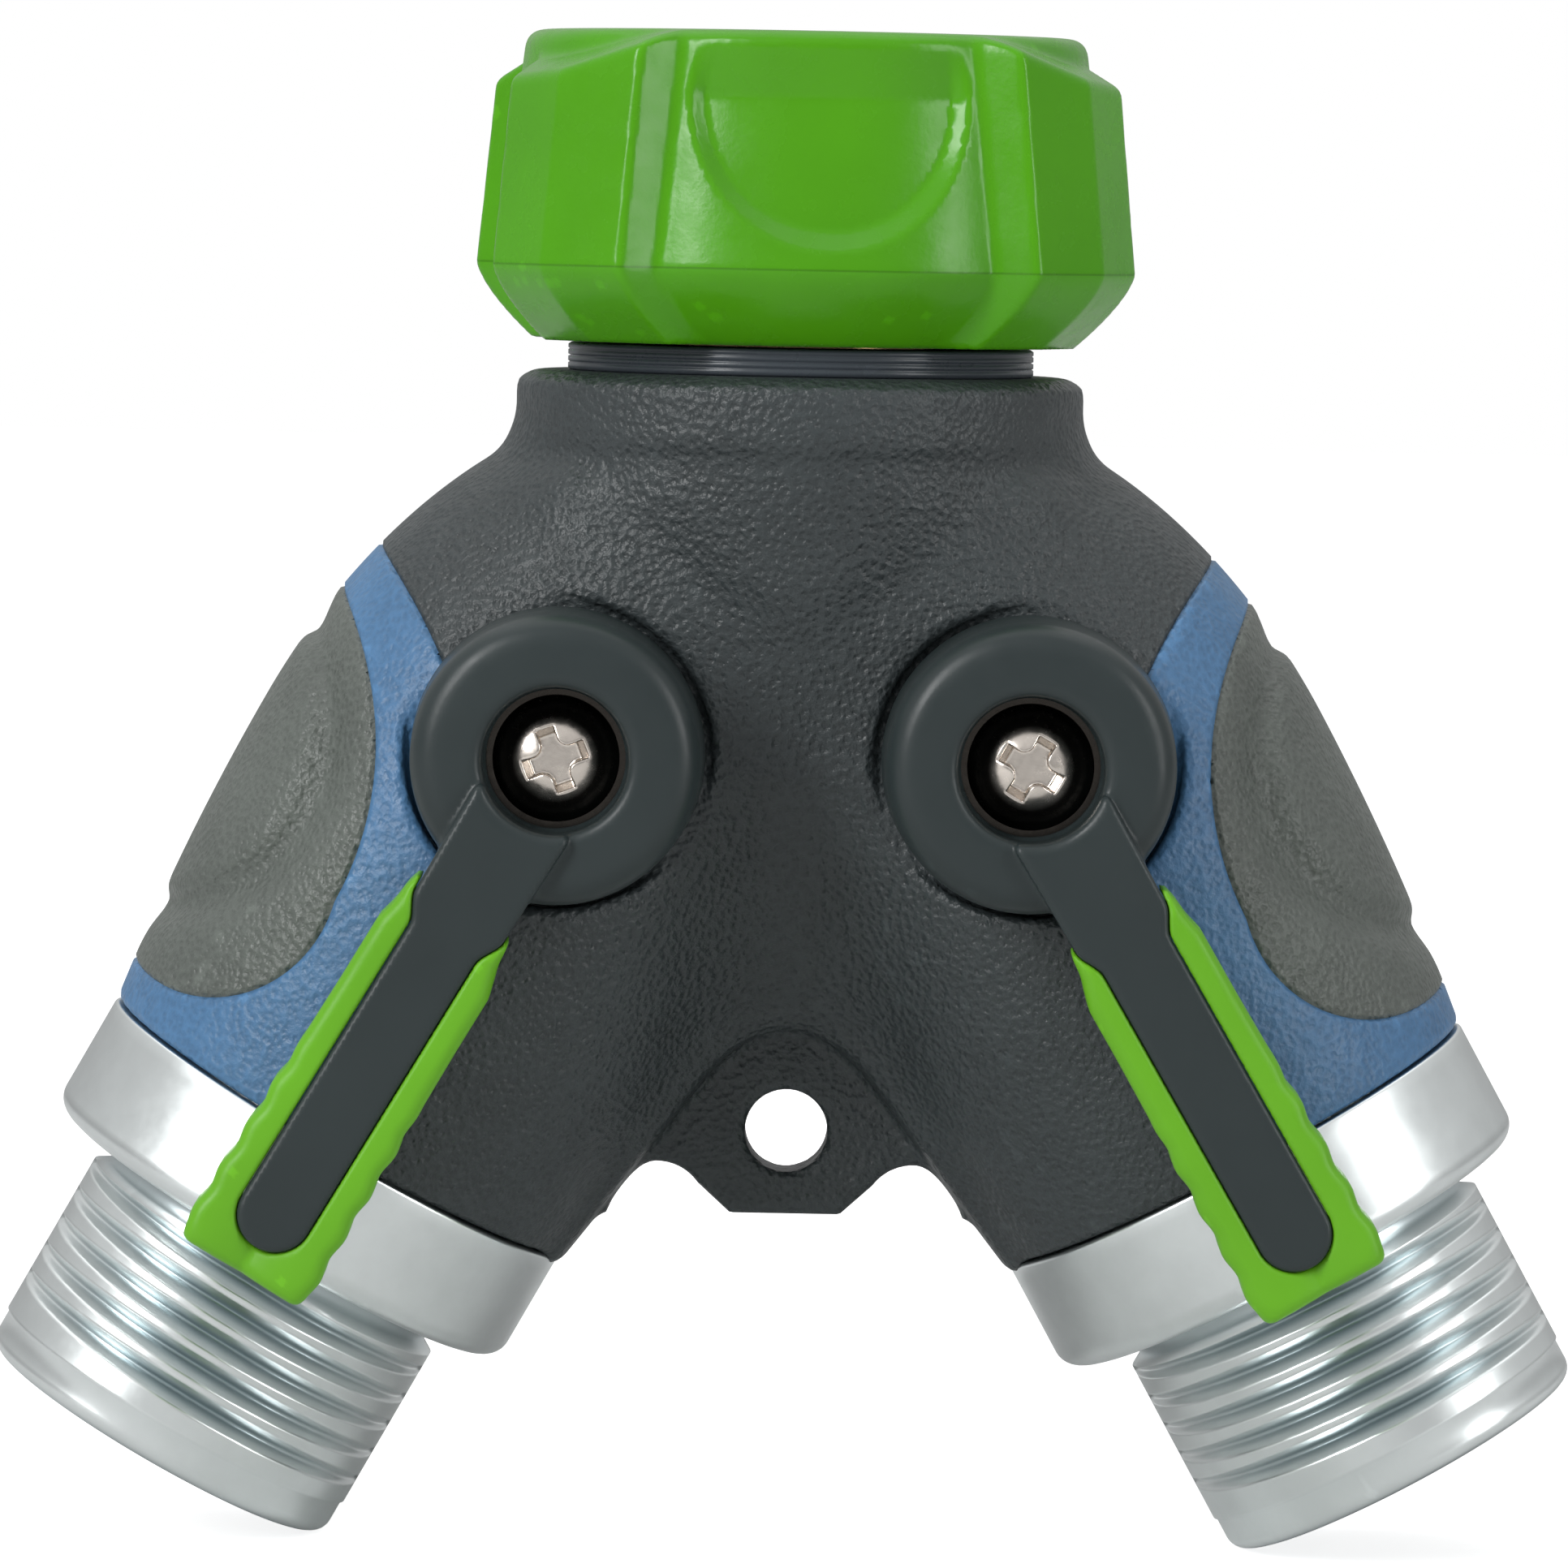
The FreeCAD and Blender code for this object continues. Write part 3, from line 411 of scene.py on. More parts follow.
def pad_outline():
    top, upper, inner, lower, bottom = pad_points
    return (arc_through(top, upper, inner) + arc_through(inner, lower, bottom)[1:]
            + [(bottom[0], 40.0), (top[0], 40.0)])


# ---- rubber cover, bands and pads ---------------------------------------------------------------
def rubber_pieces():
    """Meshes the outside once, then splits it along the bands' and pads' outlines."""
    step = 0.42
    points, quads = net_of(cover_field, (-47, -20, -76), (47, 20, -12), step)
    tris = triangles_of(quads)
    side = np.where(points[:, 0] < 0, -1, 1)
    t, q = leg_coords(points[:, 0], points[:, 2], side)
    marks = {"band": outline_distance(t, q, band_outline()),
             "pad": outline_distance(t, q, pad_outline()),
             "t": t, "q": q}
    for key in ("band", "pad"):
        for level in (-seam_half_w, 0.0, seam_half_w):
            points, tris, marks = cut_along(points, tris, marks, key, level)
    middle = points[tris].mean(1)
    sign = np.where(middle[:, 0] < 0, -1, 1)
    t_mid, q_mid = leg_coords(middle[:, 0], middle[:, 2], sign)
    in_leg_hole = (np.hypot(q_mid, middle[:, 1]) < leg_hole_r + 0.25) & (t_mid < leg_end_t - 0.6)
    in_neck_hole = (np.hypot(middle[:, 0], middle[:, 1]) < neck_hole_r + 0.25) & (middle[:, 2] > -27.0)
    hidden = (in_leg_hole & (t_mid > 20)) | in_neck_hole
    tris = tris[~hidden]
    normal = normals_of(points, tris)
    near = np.minimum(np.abs(marks["band"]), np.abs(marks["pad"]))
    sink = seam_depth * np.clip(1.0 - near / seam_half_w, 0.0, 1.0)
    sink = sink + pad_relief(points, marks)
    points = points - normal * sink[:, None]
    band = marks["band"][tris].mean(1) < 0
    pad = marks["pad"][tris].mean(1) < 0
    left = points[tris][:, :, 0].mean(1) < 0
    pieces = {"cover": tris[~band & ~pad]}
    for name, here in (("left", left), ("right", ~left)):
        pieces["band_" + name] = tris[band & ~pad & here]
        pieces["pad_" + name] = tris[pad & here]
    return {name: make_object("skin_" + name, points, part) for name, part in pieces.items()}


def pad_relief(points, marks):
    """Groove round the pad's raised oval: steep on the oval's side, easy on the other."""
    angle = np.degrees(np.arctan2(np.abs(points[:, 1]), marks["q"]))
    reach = np.hypot((marks["t"] - oval_t) / oval_half_length, angle / oval_half_angle)
    past = reach - 1.07
    width = np.where(past < 0, 0.08, 0.18)
    inner = 0.6 + 0.45 * np.clip(angle / oval_half_angle, 0.0, 1.0)
    groove = oval_groove * inner * np.exp(-(past / width) ** 2)
    return np.where(marks["pad"] < 0, groove * np.clip(-marks["pad"] / 1.2, 0.0, 1.0), 0.0)


# ---- nut ----------------------------------------------------------------------------------------
nut_turn = math.radians(5.3)
nut_top_z = 10.5
nut_part_z = -5.6
nut_low_z = -10.8
rim_r, wide_r, foot_r = 19.3, 21.2, 17.0
rib_top_r, rib_wide_r, rib_foot_r = 22.6, 24.2, 19.4
rib_half_w = 6.2
rib_angles = (52.4, -52.4, 127.6, -127.6)
nut_bore_r = 14.15
scoop_half_w = 9.9
scoop_half_h = 10.4
scoop_z = 6.0
scoop_depth = 1.1
scoop_edge = 0.13             # width of the scoop's edge, as a share of the oval
scoop_run_out = 3.8           # height over which it fades out below the rim
rib_facet = 0.19              # fall of the ribs' facets from the middle ridge
rib_flank = 0.22              # lean of the ribs' sides


def tapered(z, top_r, wide, foot):
    """Radius of the nut's profile: a slight cone down to the parting line, then a rounded foot."""
    slope = (wide - top_r) / (nut_top_z - nut_part_z)
    cone = wide - slope * (z - nut_part_z)
    u = np.clip((nut_part_z - z) / (nut_part_z - nut_low_z), 0.0, 1.0)
    foot_curve = wide - (wide - foot) * u ** 1.45
    return np.where(z > nut_part_z, cone, foot_curve)


def nut_field(x, y, z):
    rho = np.hypot(x, y)
    angle = np.arctan2(x, -y) - nut_turn
    body_r = tapered(z, rim_r, wide_r, foot_r)
    across = np.minimum(np.abs((angle + math.pi / 2) % math.pi - math.pi / 2) * rho, 20.0)
    ellipse = np.hypot(across / scoop_half_w, (z - scoop_z) / scoop_half_h)
    dip = np.clip((1.0 - ellipse) / scoop_edge, 0.0, 1.0)
    dip = dip * np.clip((nut_top_z - 0.8 - z) / scoop_run_out, 0.0, 1.0)
    body = (rho - body_r + scoop_depth * dip) * 0.93
    solid = body
    for place in rib_angles:
        turn = angle - math.radians(place)
        u = rho * np.sin(turn)
        w = rho * np.cos(turn)
        toward_panel = -u * math.copysign(1.0, place) * (1.0 if abs(place) < 90 else -1.0)
        crest = tapered(z, rib_top_r - 0.2, rib_wide_r, rib_foot_r)
        side = np.abs(u)
        roof = (w - crest + rib_facet * side) * 0.95
        flank = (side - rib_half_w + (w - crest) * rib_flank) * 0.95
        top = (z - 7.6 - 0.17 * toward_panel + 0.5 * (w - rib_top_r)) * 0.88
        rib = blend_max(blend_max(roof, flank, 0.4), top, 0.5)
        rib = np.maximum(rib, 10.0 - w)
        solid = blend_min(solid, rib, 0.45)
    solid = blend_max(solid, z - nut_top_z, 1.3)
    solid = np.maximum(solid, nut_low_z - z)
    return blend_max(solid, nut_bore_r - rho, 0.5)


# ---- lever --------------------------------------------------------------------------------------
arm_lean = math.radians(1.4)
hub_r = 10.0
hub_rear, hub_front = 16.3, 27.0
hub_face_drop = 0.75          # hub's face behind the arm's
recess_r = 4.9
recess_floor = 21.4
screw_head_r = 4.4
arm_half_w = 3.7
arm_half_w_tip = 2.55
arm_taper = 0.25
arm_front, arm_back = 27.1, 21.2
tongue_end = 38.2
grip_start = 12.0
grip_end = 40.3
grip_half_w = 4.6
grip_wave = 0.12
grip_front, grip_back = 27.0, 20.8


def valve_coords(x, y, z, side, lean=arm_lean):
    """Along the arm, across it (outward positive) and forward, from the right or left pivot."""
    dx = side * x - right_pivot.x
    dz = z - right_pivot.z
    turn = leg_angle + lean
    along = dx * math.sin(turn) - dz * math.cos(turn)
    across = dx * math.cos(turn) + dz * math.sin(turn)
    return along, across, -y


def arm_width(along):
    """Half-width of the dark arm: full beside the hub, necked in between the grips."""
    neck = np.clip((along - grip_start) / 2.4, 0.0, 1.0)
    neck = neck * neck * (3 - 2 * neck)
    taper = arm_taper * np.clip(along / grip_start, 0, 1)
    return arm_half_w - taper - (arm_half_w - arm_taper - arm_half_w_tip) * neck


def lever_field(x, y, z, side):
    along, across, forward = valve_coords(x, y, z, side)
    r = np.hypot(along, across)
    face = hub_front - hub_face_drop - 0.02 * np.maximum(r - 5.6, 0.0) ** 2
    hub = blend_max(r - hub_r + 0.03 * (forward - hub_rear), forward - face, 2.0)
    hub = np.maximum(hub, hub_rear - forward)
    half = arm_width(along)
    end = np.hypot(np.maximum(along - (tongue_end - arm_half_w_tip), 0.0), across) - arm_half_w_tip
    flat = np.abs(across) - half
    arm = np.where(along > tongue_end - arm_half_w_tip, end, flat)
    arm = blend_max(arm, forward - arm_front, 0.4)
    arm = np.maximum(np.maximum(arm, arm_back - forward), -along)
    solid = blend_min(hub, arm, 0.25)
    recess = np.maximum(r - recess_r, recess_floor + 1.6 - forward)
    solid = blend_max(solid, -recess, 0.9)
    return np.maximum(solid, -np.maximum(r - screw_head_r - 0.3, recess_floor - forward))


def grip_field(x, y, z, side):
    """Soft U round the arm's lower half, its outer edges waved for the finger."""
    along, across, forward = valve_coords(x, y, z, side)
    wave_on = np.clip((along - 24.0) / 3.0, 0.0, 1.0)
    wave = grip_wave * wave_on * np.sin((along - 24.0) * math.tau / 3.3)
    spread = 0.25 * np.clip((along - 20.0) / 18.0, 0.0, 1.0)
    outer = grip_half_w + spread + wave
    start = grip_start - np.where(across > 0, 1.2, 0.2)
    point = np.clip((along - start) / 4.2, 0.0, 1.0)
    outer = arm_width(along) + (outer - arm_width(along)) * np.sqrt(point)
    block = np.abs(across) - outer
    block = blend_max(block, along - grip_end, 1.0)
    block = blend_max(block, grip_start - 1.0 - along, 0.4)
    crown = grip_front - 0.06 * (np.abs(across) - 3.4) ** 2
    block = blend_max(block, forward - crown, 1.0)
    block = blend_max(block, grip_back - forward, 0.8)
    half = arm_width(along) + 0.04
    end = np.hypot(np.maximum(along - (tongue_end - arm_half_w_tip), 0.0), across) - arm_half_w_tip
    slot = np.where(along > tongue_end - arm_half_w_tip, end - 0.04, np.abs(across) - half)
    return blend_max(block, -slot, 0.35)


screw_turns = {"left": 21.0, "right": -30.0}
screw_seat = 21.9
screw_head_h = 2.4
cross_half_w = 0.6
cross_half_span = 2.45


def screw_field(x, y, z, side, turn):
    """Domed head with a cross recess that tapers inward."""
    across = side * (side * x - right_pivot.x)
    up = z - right_pivot.z
    forward = -y
    r = np.hypot(across, up)
    dome_r = (screw_head_r ** 2 + screw_head_h ** 2) / (2 * screw_head_h)
    dome = np.sqrt(r ** 2 + (forward - (screw_seat + screw_head_h - dome_r)) ** 2) - dome_r
    head = blend_max(dome, screw_seat - forward, 0.3)
    u = across * math.cos(turn) + up * math.sin(turn)
    v = up * math.cos(turn) - across * math.sin(turn)
    depth = screw_seat + screw_head_h - forward
    span = cross_half_span - 0.45 * depth
    arms = np.minimum(np.maximum(np.abs(u) - cross_half_w, np.abs(v) - span),
                      np.maximum(np.abs(v) - cross_half_w, np.abs(u) - span))
    core = r - 1.15
    recess = np.maximum(blend_min(arms, core, 0.3), depth - 1.7)
    return blend_max(head, -recess, 0.18)


# ---- outlets and collar, turned on a lathe ------------------------------------------------------
ring_low_t = 72.3
neck_low_t = 73.9
lead_step = 0.17              # the plain nose is this much under the thread's crest
thread_r = nose_r + lead_step
thread_root_r = 12.35
thread_pitch = 25.4 / 11.5
thread_count = 5
thread_fade = math.radians(75.0)
outlet_tip_t = 89.0
outlet_neck_r = 12.6
outlet_bore_r = 6.0
mouth_r = 8.8
mouth_depth = 11.0


def outlet_rows():
    """(distance along the leg, radius) down the outside, round the tip and into the mouth."""
    rows = [(leg_end_t + 0.15, 11.2), (leg_end_t + 0.15, leg_end_r - 0.25)]
    rows += [(leg_end_t + 0.15 + 0.25 * (1 - math.cos(a)), leg_end_r - 0.25 + 0.25 * math.sin(a))
             for a in (0.5, 1.0, math.pi / 2)]
    rows += [(t, leg_end_r) for t in np.linspace(leg_end_t + 1.2, ring_low_t - 1.6, 5)]
    rows += [(ring_low_t - 1.5 + 1.5 * math.sin(a), leg_end_r - 1.5 + 1.5 * math.cos(a))
             for a in np.linspace(0, math.pi / 2, 9)]
    rows += [(ring_low_t, outlet_neck_r + 0.5), (ring_low_t + 0.1, outlet_neck_r + 0.15),
             (ring_low_t + 0.35, outlet_neck_r)]
    rows += [(neck_low_t - 0.2, outlet_neck_r)]
    nose_t = right_place.x / leg_sin - nose_length / 2
    rows += [(t, thread_r) for t in np.arange(neck_low_t + 0.35, nose_t - 0.1, 0.11)]
    rows += [(nose_t, thread_r), (nose_t + 0.15, nose_r)]
    rows += [(outlet_tip_t - 1.1 + 1.1 * math.sin(a), nose_r - 1.1 + 1.1 * math.cos(a))
             for a in np.linspace(0, math.pi / 2, 9)]
    rows += [(outlet_tip_t, mouth_r + 0.5), (outlet_tip_t - 0.15, mouth_r + 0.12),
             (outlet_tip_t - 0.5, mouth_r), (outlet_tip_t - mouth_depth, mouth_r),
             (outlet_tip_t - mouth_depth - 2.0, outlet_bore_r), (43.0, outlet_bore_r)]
    return rows


def thread_surface(t, angle, radius):
    """Cuts the interrupted thread: V grooves that are deepest front and back and fade sideways."""
    off = (thread_r ** 2 - thread_root_r ** 2) / (2 * (thread_root_r + thread_r * math.cos(thread_fade)))
    root_circle = thread_root_r + off
    first = neck_low_t + thread_pitch * 0.5
    lead = thread_pitch / math.tau
    result = radius.copy()
    for half in (0, 1):
        turn = (angle - half * math.pi + math.pi) % math.tau - math.pi
        root = -off * np.cos(turn) + np.sqrt(root_circle ** 2 - (off * np.sin(turn)) ** 2)
        for i in range(thread_count):
            centre = first + (i + 0.5 * half) * thread_pitch + lead * turn
            away = np.abs(t - centre)
            flank = np.hypot(np.maximum(away - 0.02, 0.0) / math.tan(math.radians(32)), 0.25) - 0.25
            groove = root + flank
            here = np.abs(turn) < math.pi / 2
            result = np.where(here & (t > neck_low_t), np.minimum(result, groove), result)
    return result


def lathe(rows, columns, shape=None):
    """Rows of (height, radius) turned about Z; shape may change the radius by angle."""
    height = np.array([row[0] for row in rows])[:, None]
    radius = np.array([row[1] for row in rows])[:, None]
    angle = np.linspace(0, math.tau, columns, endpoint=False)[None, :]
    height, radius, angle = np.broadcast_arrays(height, radius, angle)
    if shape is not None:
        radius = shape(height, angle, radius)
    points = np.stack([radius * np.sin(angle), -radius * np.cos(angle), height], -1).reshape(-1, 3)
    i = np.arange(len(rows) - 1)[:, None] * columns
    j = np.arange(columns)[None, :]
    k = (j + 1) % columns
    faces = np.stack([i + j, i + k, i + columns + k, i + columns + j], -1).reshape(-1, 4)
    return points, faces


def on_leg(points, side):
    """Hangs points, given with their distance along the leg as height, on a leg."""
    across, depth, t = points.T
    x = side * t * leg_sin + across * leg_cos
    z = leg_meet_z - t * leg_cos + side * across * leg_sin
    return np.stack([x, depth, z], 1)


def collar_rows():
    """A ring with three fine turned lines, one of them deep."""
    low, high = flange_top_z, collar_high.z
    r = collar_high.x
    rows = [(low, 9.6), (low, r - 0.2), (low + 0.15, r)]
    for z, depth in ((low + 0.55, 0.12), (low + 1.0, 0.18), (low + 1.45, 0.1)):
        rows += [(z - 0.08, r), (z, r - depth), (z + 0.08, r)]
    return rows + [(high - 0.15, r), (high, r - 0.2), (high, 9.6)]


# ---- materials ----------------------------------------------------------------------------------
class Shader:
    """A node tree with short calls for the nodes used here."""

    def __init__(self, name):
        self.material = bpy.data.materials.new(name)
        self.material.use_nodes = True
        self.tree = self.material.node_tree
        self.surface = self.tree.nodes["Principled BSDF"]
        coords = self.add("ShaderNodeTexCoord")
        self.place = coords.outputs["Object"]

    def add(self, kind, inputs=None, **settings):
        node = self.tree.nodes.new(kind)
        for key, value in settings.items():
            setattr(node, key, value)
        for key, value in (inputs or {}).items():
            self.put(node.inputs[key], value)
        return node

    def put(self, socket, value):
        if isinstance(value, bpy.types.NodeSocket):
            self.tree.links.new(value, socket)
        else:
            socket.default_value = value

    def noise(self, size_mm, detail=3.0, rough=0.55, stretch=None):
        vector = self.place
        if stretch is not None:
            vector = self.add("ShaderNodeMapping", {"Vector": vector, "Scale": stretch}).outputs[0]
        node = self.add("ShaderNodeTexNoise", {"Vector": vector, "Scale": 1 / (size_mm * MM),
                                               "Detail": detail, "Roughness": rough})
        return node.outputs["Fac"]

    def cells(self, size_mm, smooth=0.6):
        node = self.add("ShaderNodeTexVoronoi", {"Vector": self.place, "Scale": 1 / (size_mm * MM),
                                                 "Smoothness": smooth}, feature="SMOOTH_F1")
        return node.outputs["Distance"]

    def math(self, operation, a, b):
        node = self.add("ShaderNodeMath", operation=operation)
        self.put(node.inputs[0], a)
        self.put(node.inputs[1], b)
        return node.outputs[0]

    def remap(self, value, low, high, to_low, to_high):
        node = self.add("ShaderNodeMapRange", {"Value": value, "From Min": low, "From Max": high,
                                               "To Min": to_low, "To Max": to_high})
        return node.outputs[0]

    def mix(self, factor, a, b):
        node = self.add("ShaderNodeMix", data_type="RGBA")
        self.put(node.inputs["Factor"], factor)
        self.put(node.inputs[6], a)
        self.put(node.inputs[7], b)
        return node.outputs[2]

    def bump(self, height, depth_mm, strength=1.0, under=None):
        node = self.add("ShaderNodeBump", {"Height": height, "Distance": depth_mm * MM,
                                           "Strength": strength})
        if under is not None:
            self.put(node.inputs["Normal"], under)
        return node.outputs["Normal"]

    def edge(self, low=0.52, high=0.6):
        """1 on sharp outer edges."""
        geometry = self.add("ShaderNodeNewGeometry")
        return self.remap(geometry.outputs["Pointiness"], low, high, 0.0, 1.0)

    def end(self, colour, rough, normal, metallic=0.0, **fixed):
        self.put(self.surface.inputs["Base Color"], colour)
        self.put(self.surface.inputs["Roughness"], rough)
        self.put(self.surface.inputs["Normal"], normal)
        self.surface.inputs["Metallic"].default_value = metallic
        for key, value in fixed.items():
            self.surface.inputs[key.replace("_", " ")].default_value = value
        return self.material


def shade(colour, factor):
    return tuple(c * factor for c in colour) + (1.0,)


def grained_rubber(name, colour, grain_mm, depth_mm, rough, highlight_boost=0.0):
    """Moulded rubber with leather grain: low cells, finer pits, painted highlights on the grain's high spots and
    on sharp edges.
    """
    s = Shader(name)
    cells = s.cells(grain_mm)
    pits = s.noise(grain_mm * 0.8, 2.0)
    height = s.math("ADD", cells, s.math("MULTIPLY", pits, 0.8))
    cloud = s.noise(9.0, 3.0)
    tone = s.mix(s.remap(cloud, 0.3, 0.7, 0.0, 1.0), shade(colour, 0.86), shade(colour, 1.14))
    # painted highlight: the grain's high spots are lightened
    high = s.remap(height, 0.65, 1.15, 0.0, 1.0)
    tone = s.mix(s.math("MULTIPLY", high, 0.35), tone, shade(colour, 1.6 + highlight_boost))
    # painted highlight: sharp edges are lightened
    tone = s.mix(s.math("MULTIPLY", s.edge(), 0.4), tone, shade(colour, 1.9))
    roughness = s.remap(s.noise(1.6, 3.0), 0.3, 0.7, rough - 0.07, rough + 0.07)
    normal = s.bump(height, depth_mm)
    return s.end(tone, roughness, normal, Specular_IOR_Level=0.42)


def moulded_plastic(name, colour, rough, grain_mm=0.35, depth_mm=0.006, line=None):
    """Smooth moulded plastic with a faint orange peel, painted highlights on sharp edges and maybe a parting line.
    """
    s = Shader(name)
    peel = s.noise(grain_mm, 2.0)
    wave = s.noise(4.0, 2.0)
    cloud = s.noise(14.0, 2.0)
    tone = s.mix(s.remap(cloud, 0.3, 0.7, 0.0, 1.0), shade(colour, 0.93), shade(colour, 1.07))
    # painted highlight: sharp edges are lightened
    tone = s.mix(s.math("MULTIPLY", s.edge(), 0.35), tone, shade(colour, 1.5))
    roughness = s.remap(s.noise(2.2, 4.0), 0.3, 0.7, rough - 0.05, rough + 0.06)
    if line is not None:
        height = s.add("ShaderNodeSeparateXYZ", {"Vector": s.place}).outputs["Z"]
        near = s.math("ABSOLUTE", s.math("SUBTRACT", height, line * MM), 0.0)
        tone = s.mix(s.remap(near, 0.00004, 0.0001, 0.45, 0.0), tone, shade(colour, 0.3))
    normal = s.bump(wave, 0.02, 0.6, s.bump(peel, depth_mm))
    return s.end(tone, roughness, normal, Specular_IOR_Level=0.27)


def plain_metal(name, colour, rough, streak=(1.0, 1.0, 1.0), depth_mm=0.004, grooved=False):
    """Satin metal: fine uneven plating, painted shade in the thread roots when grooved, and painted highlights on
    sharp edges.
    """
    s = Shader(name)
    fine = s.noise(0.5, 4.0, 0.6, streak)
    patch = s.noise(5.0, 4.0, 0.6)
    tone = s.mix(s.remap(patch, 0.35, 0.65, 0.0, 1.0), shade(colour, 0.93), shade(colour, 1.0))
    # painted highlight: sharp edges are brightened
    tone = s.mix(s.math("MULTIPLY", s.edge(0.5, 0.58), 0.6), tone, shade(colour, 1.1))
    if grooved:
        # painted shade: where bright is 0, in the thread roots, the metal is darkened
        bright = s.add("ShaderNodeAttribute", attribute_name="bright").outputs["Fac"]
        tone = s.mix(bright, shade(groove_shade_colour, 1.0), tone)
    roughness = s.remap(s.noise(1.8, 5.0, 0.65, streak), 0.3, 0.7, rough - 0.03, rough + 0.04)
    normal = s.bump(fine, depth_mm)
    return s.end(tone, roughness, normal, 1.0)


# painted shade colour for the outlets' thread roots
groove_shade_colour = (0.27, 0.34, 0.36)


def screw_metal(name, colour, painted_reflection_colour):
    """Bright driver recess in a dark dome; the dome's dark is a painted dark reflection."""
    s = Shader(name)
    bright = s.add("ShaderNodeAttribute", attribute_name="bright").outputs["Fac"]
    scuff = s.noise(0.7, 4.0, 0.6)
    tone = s.mix(s.remap(scuff, 0.3, 0.7, 0.0, 1.0), shade(colour, 0.85), shade(colour, 1.0))
    # painted reflection: the dome away from the recess is darkened as if mirroring dark surroundings
    tone = s.mix(bright, shade(painted_reflection_colour, 1.0), tone)
    roughness = s.remap(scuff, 0.3, 0.7, 0.16, 0.30)
    return s.end(tone, roughness, s.bump(scuff, 0.006), 1.0)


def smooth_seal(name, colour, rough):
    s = Shader(name)
    speck = s.noise(0.8, 3.0)
    tone = s.mix(s.remap(speck, 0.3, 0.7, 0.0, 1.0), shade(colour, 0.8), shade(colour, 1.25))
    roughness = s.remap(speck, 0.3, 0.7, rough - 0.06, rough + 0.06)
    return s.end(tone, roughness, s.bump(speck, 0.01))


materials = {
    "dark_rubber": grained_rubber("dark_rubber", (0.029, 0.036, 0.038), 0.50, 0.17, 0.44),
    "blue_rubber": grained_rubber("blue_rubber", (0.060, 0.150, 0.285), 0.50, 0.09, 0.44),
    "grey_rubber": grained_rubber("grey_rubber", (0.088, 0.100, 0.090), 0.48, 0.16, 0.42),
    "green_plastic": moulded_plastic("green_plastic", (0.072, 0.315, 0.004), 0.25, 0.45, 0.012,
                                     line=nut_part_z),
    "green_rubber": moulded_plastic("green_rubber", (0.130, 0.400, 0.014), 0.42, 0.5, 0.012),
    "dark_plastic": moulded_plastic("dark_plastic", (0.026, 0.035, 0.036), 0.36),
    "dark_collar": moulded_plastic("dark_collar", (0.050, 0.060, 0.072), 0.30),
    "bright_metal": plain_metal("bright_metal", (0.74, 0.78, 0.78), 0.31, depth_mm=0.0012, grooved=True),
    "cast_metal": plain_metal("cast_metal", (0.62, 0.63, 0.64), 0.42, depth_mm=0.02),
    "screw_steel": screw_metal("screw_steel", (0.72, 0.66, 0.60), (0.05, 0.045, 0.04)),
    "ball_chrome": plain_metal("ball_chrome", (0.75, 0.75, 0.76), 0.10),
    "steel": plain_metal("steel", (0.55, 0.55, 0.56), 0.30),
    "brass": plain_metal("brass", (0.72, 0.53, 0.25), 0.26),
    "white_seat": smooth_seal("white_seat", (0.80, 0.80, 0.78), 0.45),
    "seal_rubber": smooth_seal("seal_rubber", (0.020, 0.020, 0.020), 0.50),
}


# ---- pieces ---------------------------------------------------------------------------------------
def paint_frame():
    """Gives every CAD node the material of its slot."""
    for entry in frame["record"]["subparts"]:
        obj = frame["nodes"][entry["node"]]
        obj.data.materials.clear()
        obj.data.materials.append(materials[entry["material_slot"]])


def build_skin():
    skin = rubber_pieces()
    finish_piece(skin["cover"], "splitter_body", ["body_cover"], materials["dark_rubber"])
    for name in SIDES:
        finish_piece(skin["band_" + name], "splitter_body", ["side_band_" + name],
                     materials["blue_rubber"])
        finish_piece(skin["pad_" + name], "splitter_body", ["grip_pad_" + name],
                     materials["grey_rubber"])


def build_nut():
    points, quads = net_of(nut_field, (-25, -25, nut_low_z), (25, 25, nut_top_z), 0.32)
    nut = make_object("nut_shell", points, quads)
    finish_piece(nut, "swivel_nut", ["nut_grip"], materials["green_plastic"])


def build_lever(name, side):
    """Lever, grip and screw of one valve."""
    body = name + "_valve"
    reach = grip_end + 2.0
    turn = leg_angle + arm_lean
    tip_x = right_pivot.x + reach * math.sin(turn)
    tip_z = right_pivot.z - reach * math.cos(turn)
    span = sorted((side * (right_pivot.x - hub_r - 1), side * (tip_x + 3.5)))
    low = (span[0], -27.5, tip_z - 2.5)
    high = (span[1], -hub_rear + 0.3, right_pivot.z + hub_r + 1)
    parts = (("lever_shell_", lever_field, "lever_", "dark_plastic", 0.3),
             ("lever_soft_", grip_field, "lever_grip_", "green_rubber", 0.26))
    for label, field, node, slot, step in parts:
        points, quads = net_of(lambda x, y, z: field(x, y, z, side), low, high, step)
        finish_piece(make_object(label + name, points, quads), body, [node + name], materials[slot])
    turn = math.radians(screw_turns[name])
    centre = np.array((side * right_pivot.x, -screw_seat - 1.2, right_pivot.z))
    half = np.array((4.6, 1.5, 4.6))
    points, quads = net_of(lambda x, y, z: screw_field(x, y, z, side, turn),
                           centre - half, centre + half, 0.1)
    away = np.hypot(points[:, 0] - centre[0], points[:, 2] - centre[2])
    # bright falls off from the screw's centre; the dome's rim gets the painted dark reflection
    screw = make_object("screw_head_" + name, points, quads, np.clip((2.9 - away) / 0.6, 0.0, 1.0))
    finish_piece(screw, body, ["lever_screw_" + name], materials["screw_steel"])


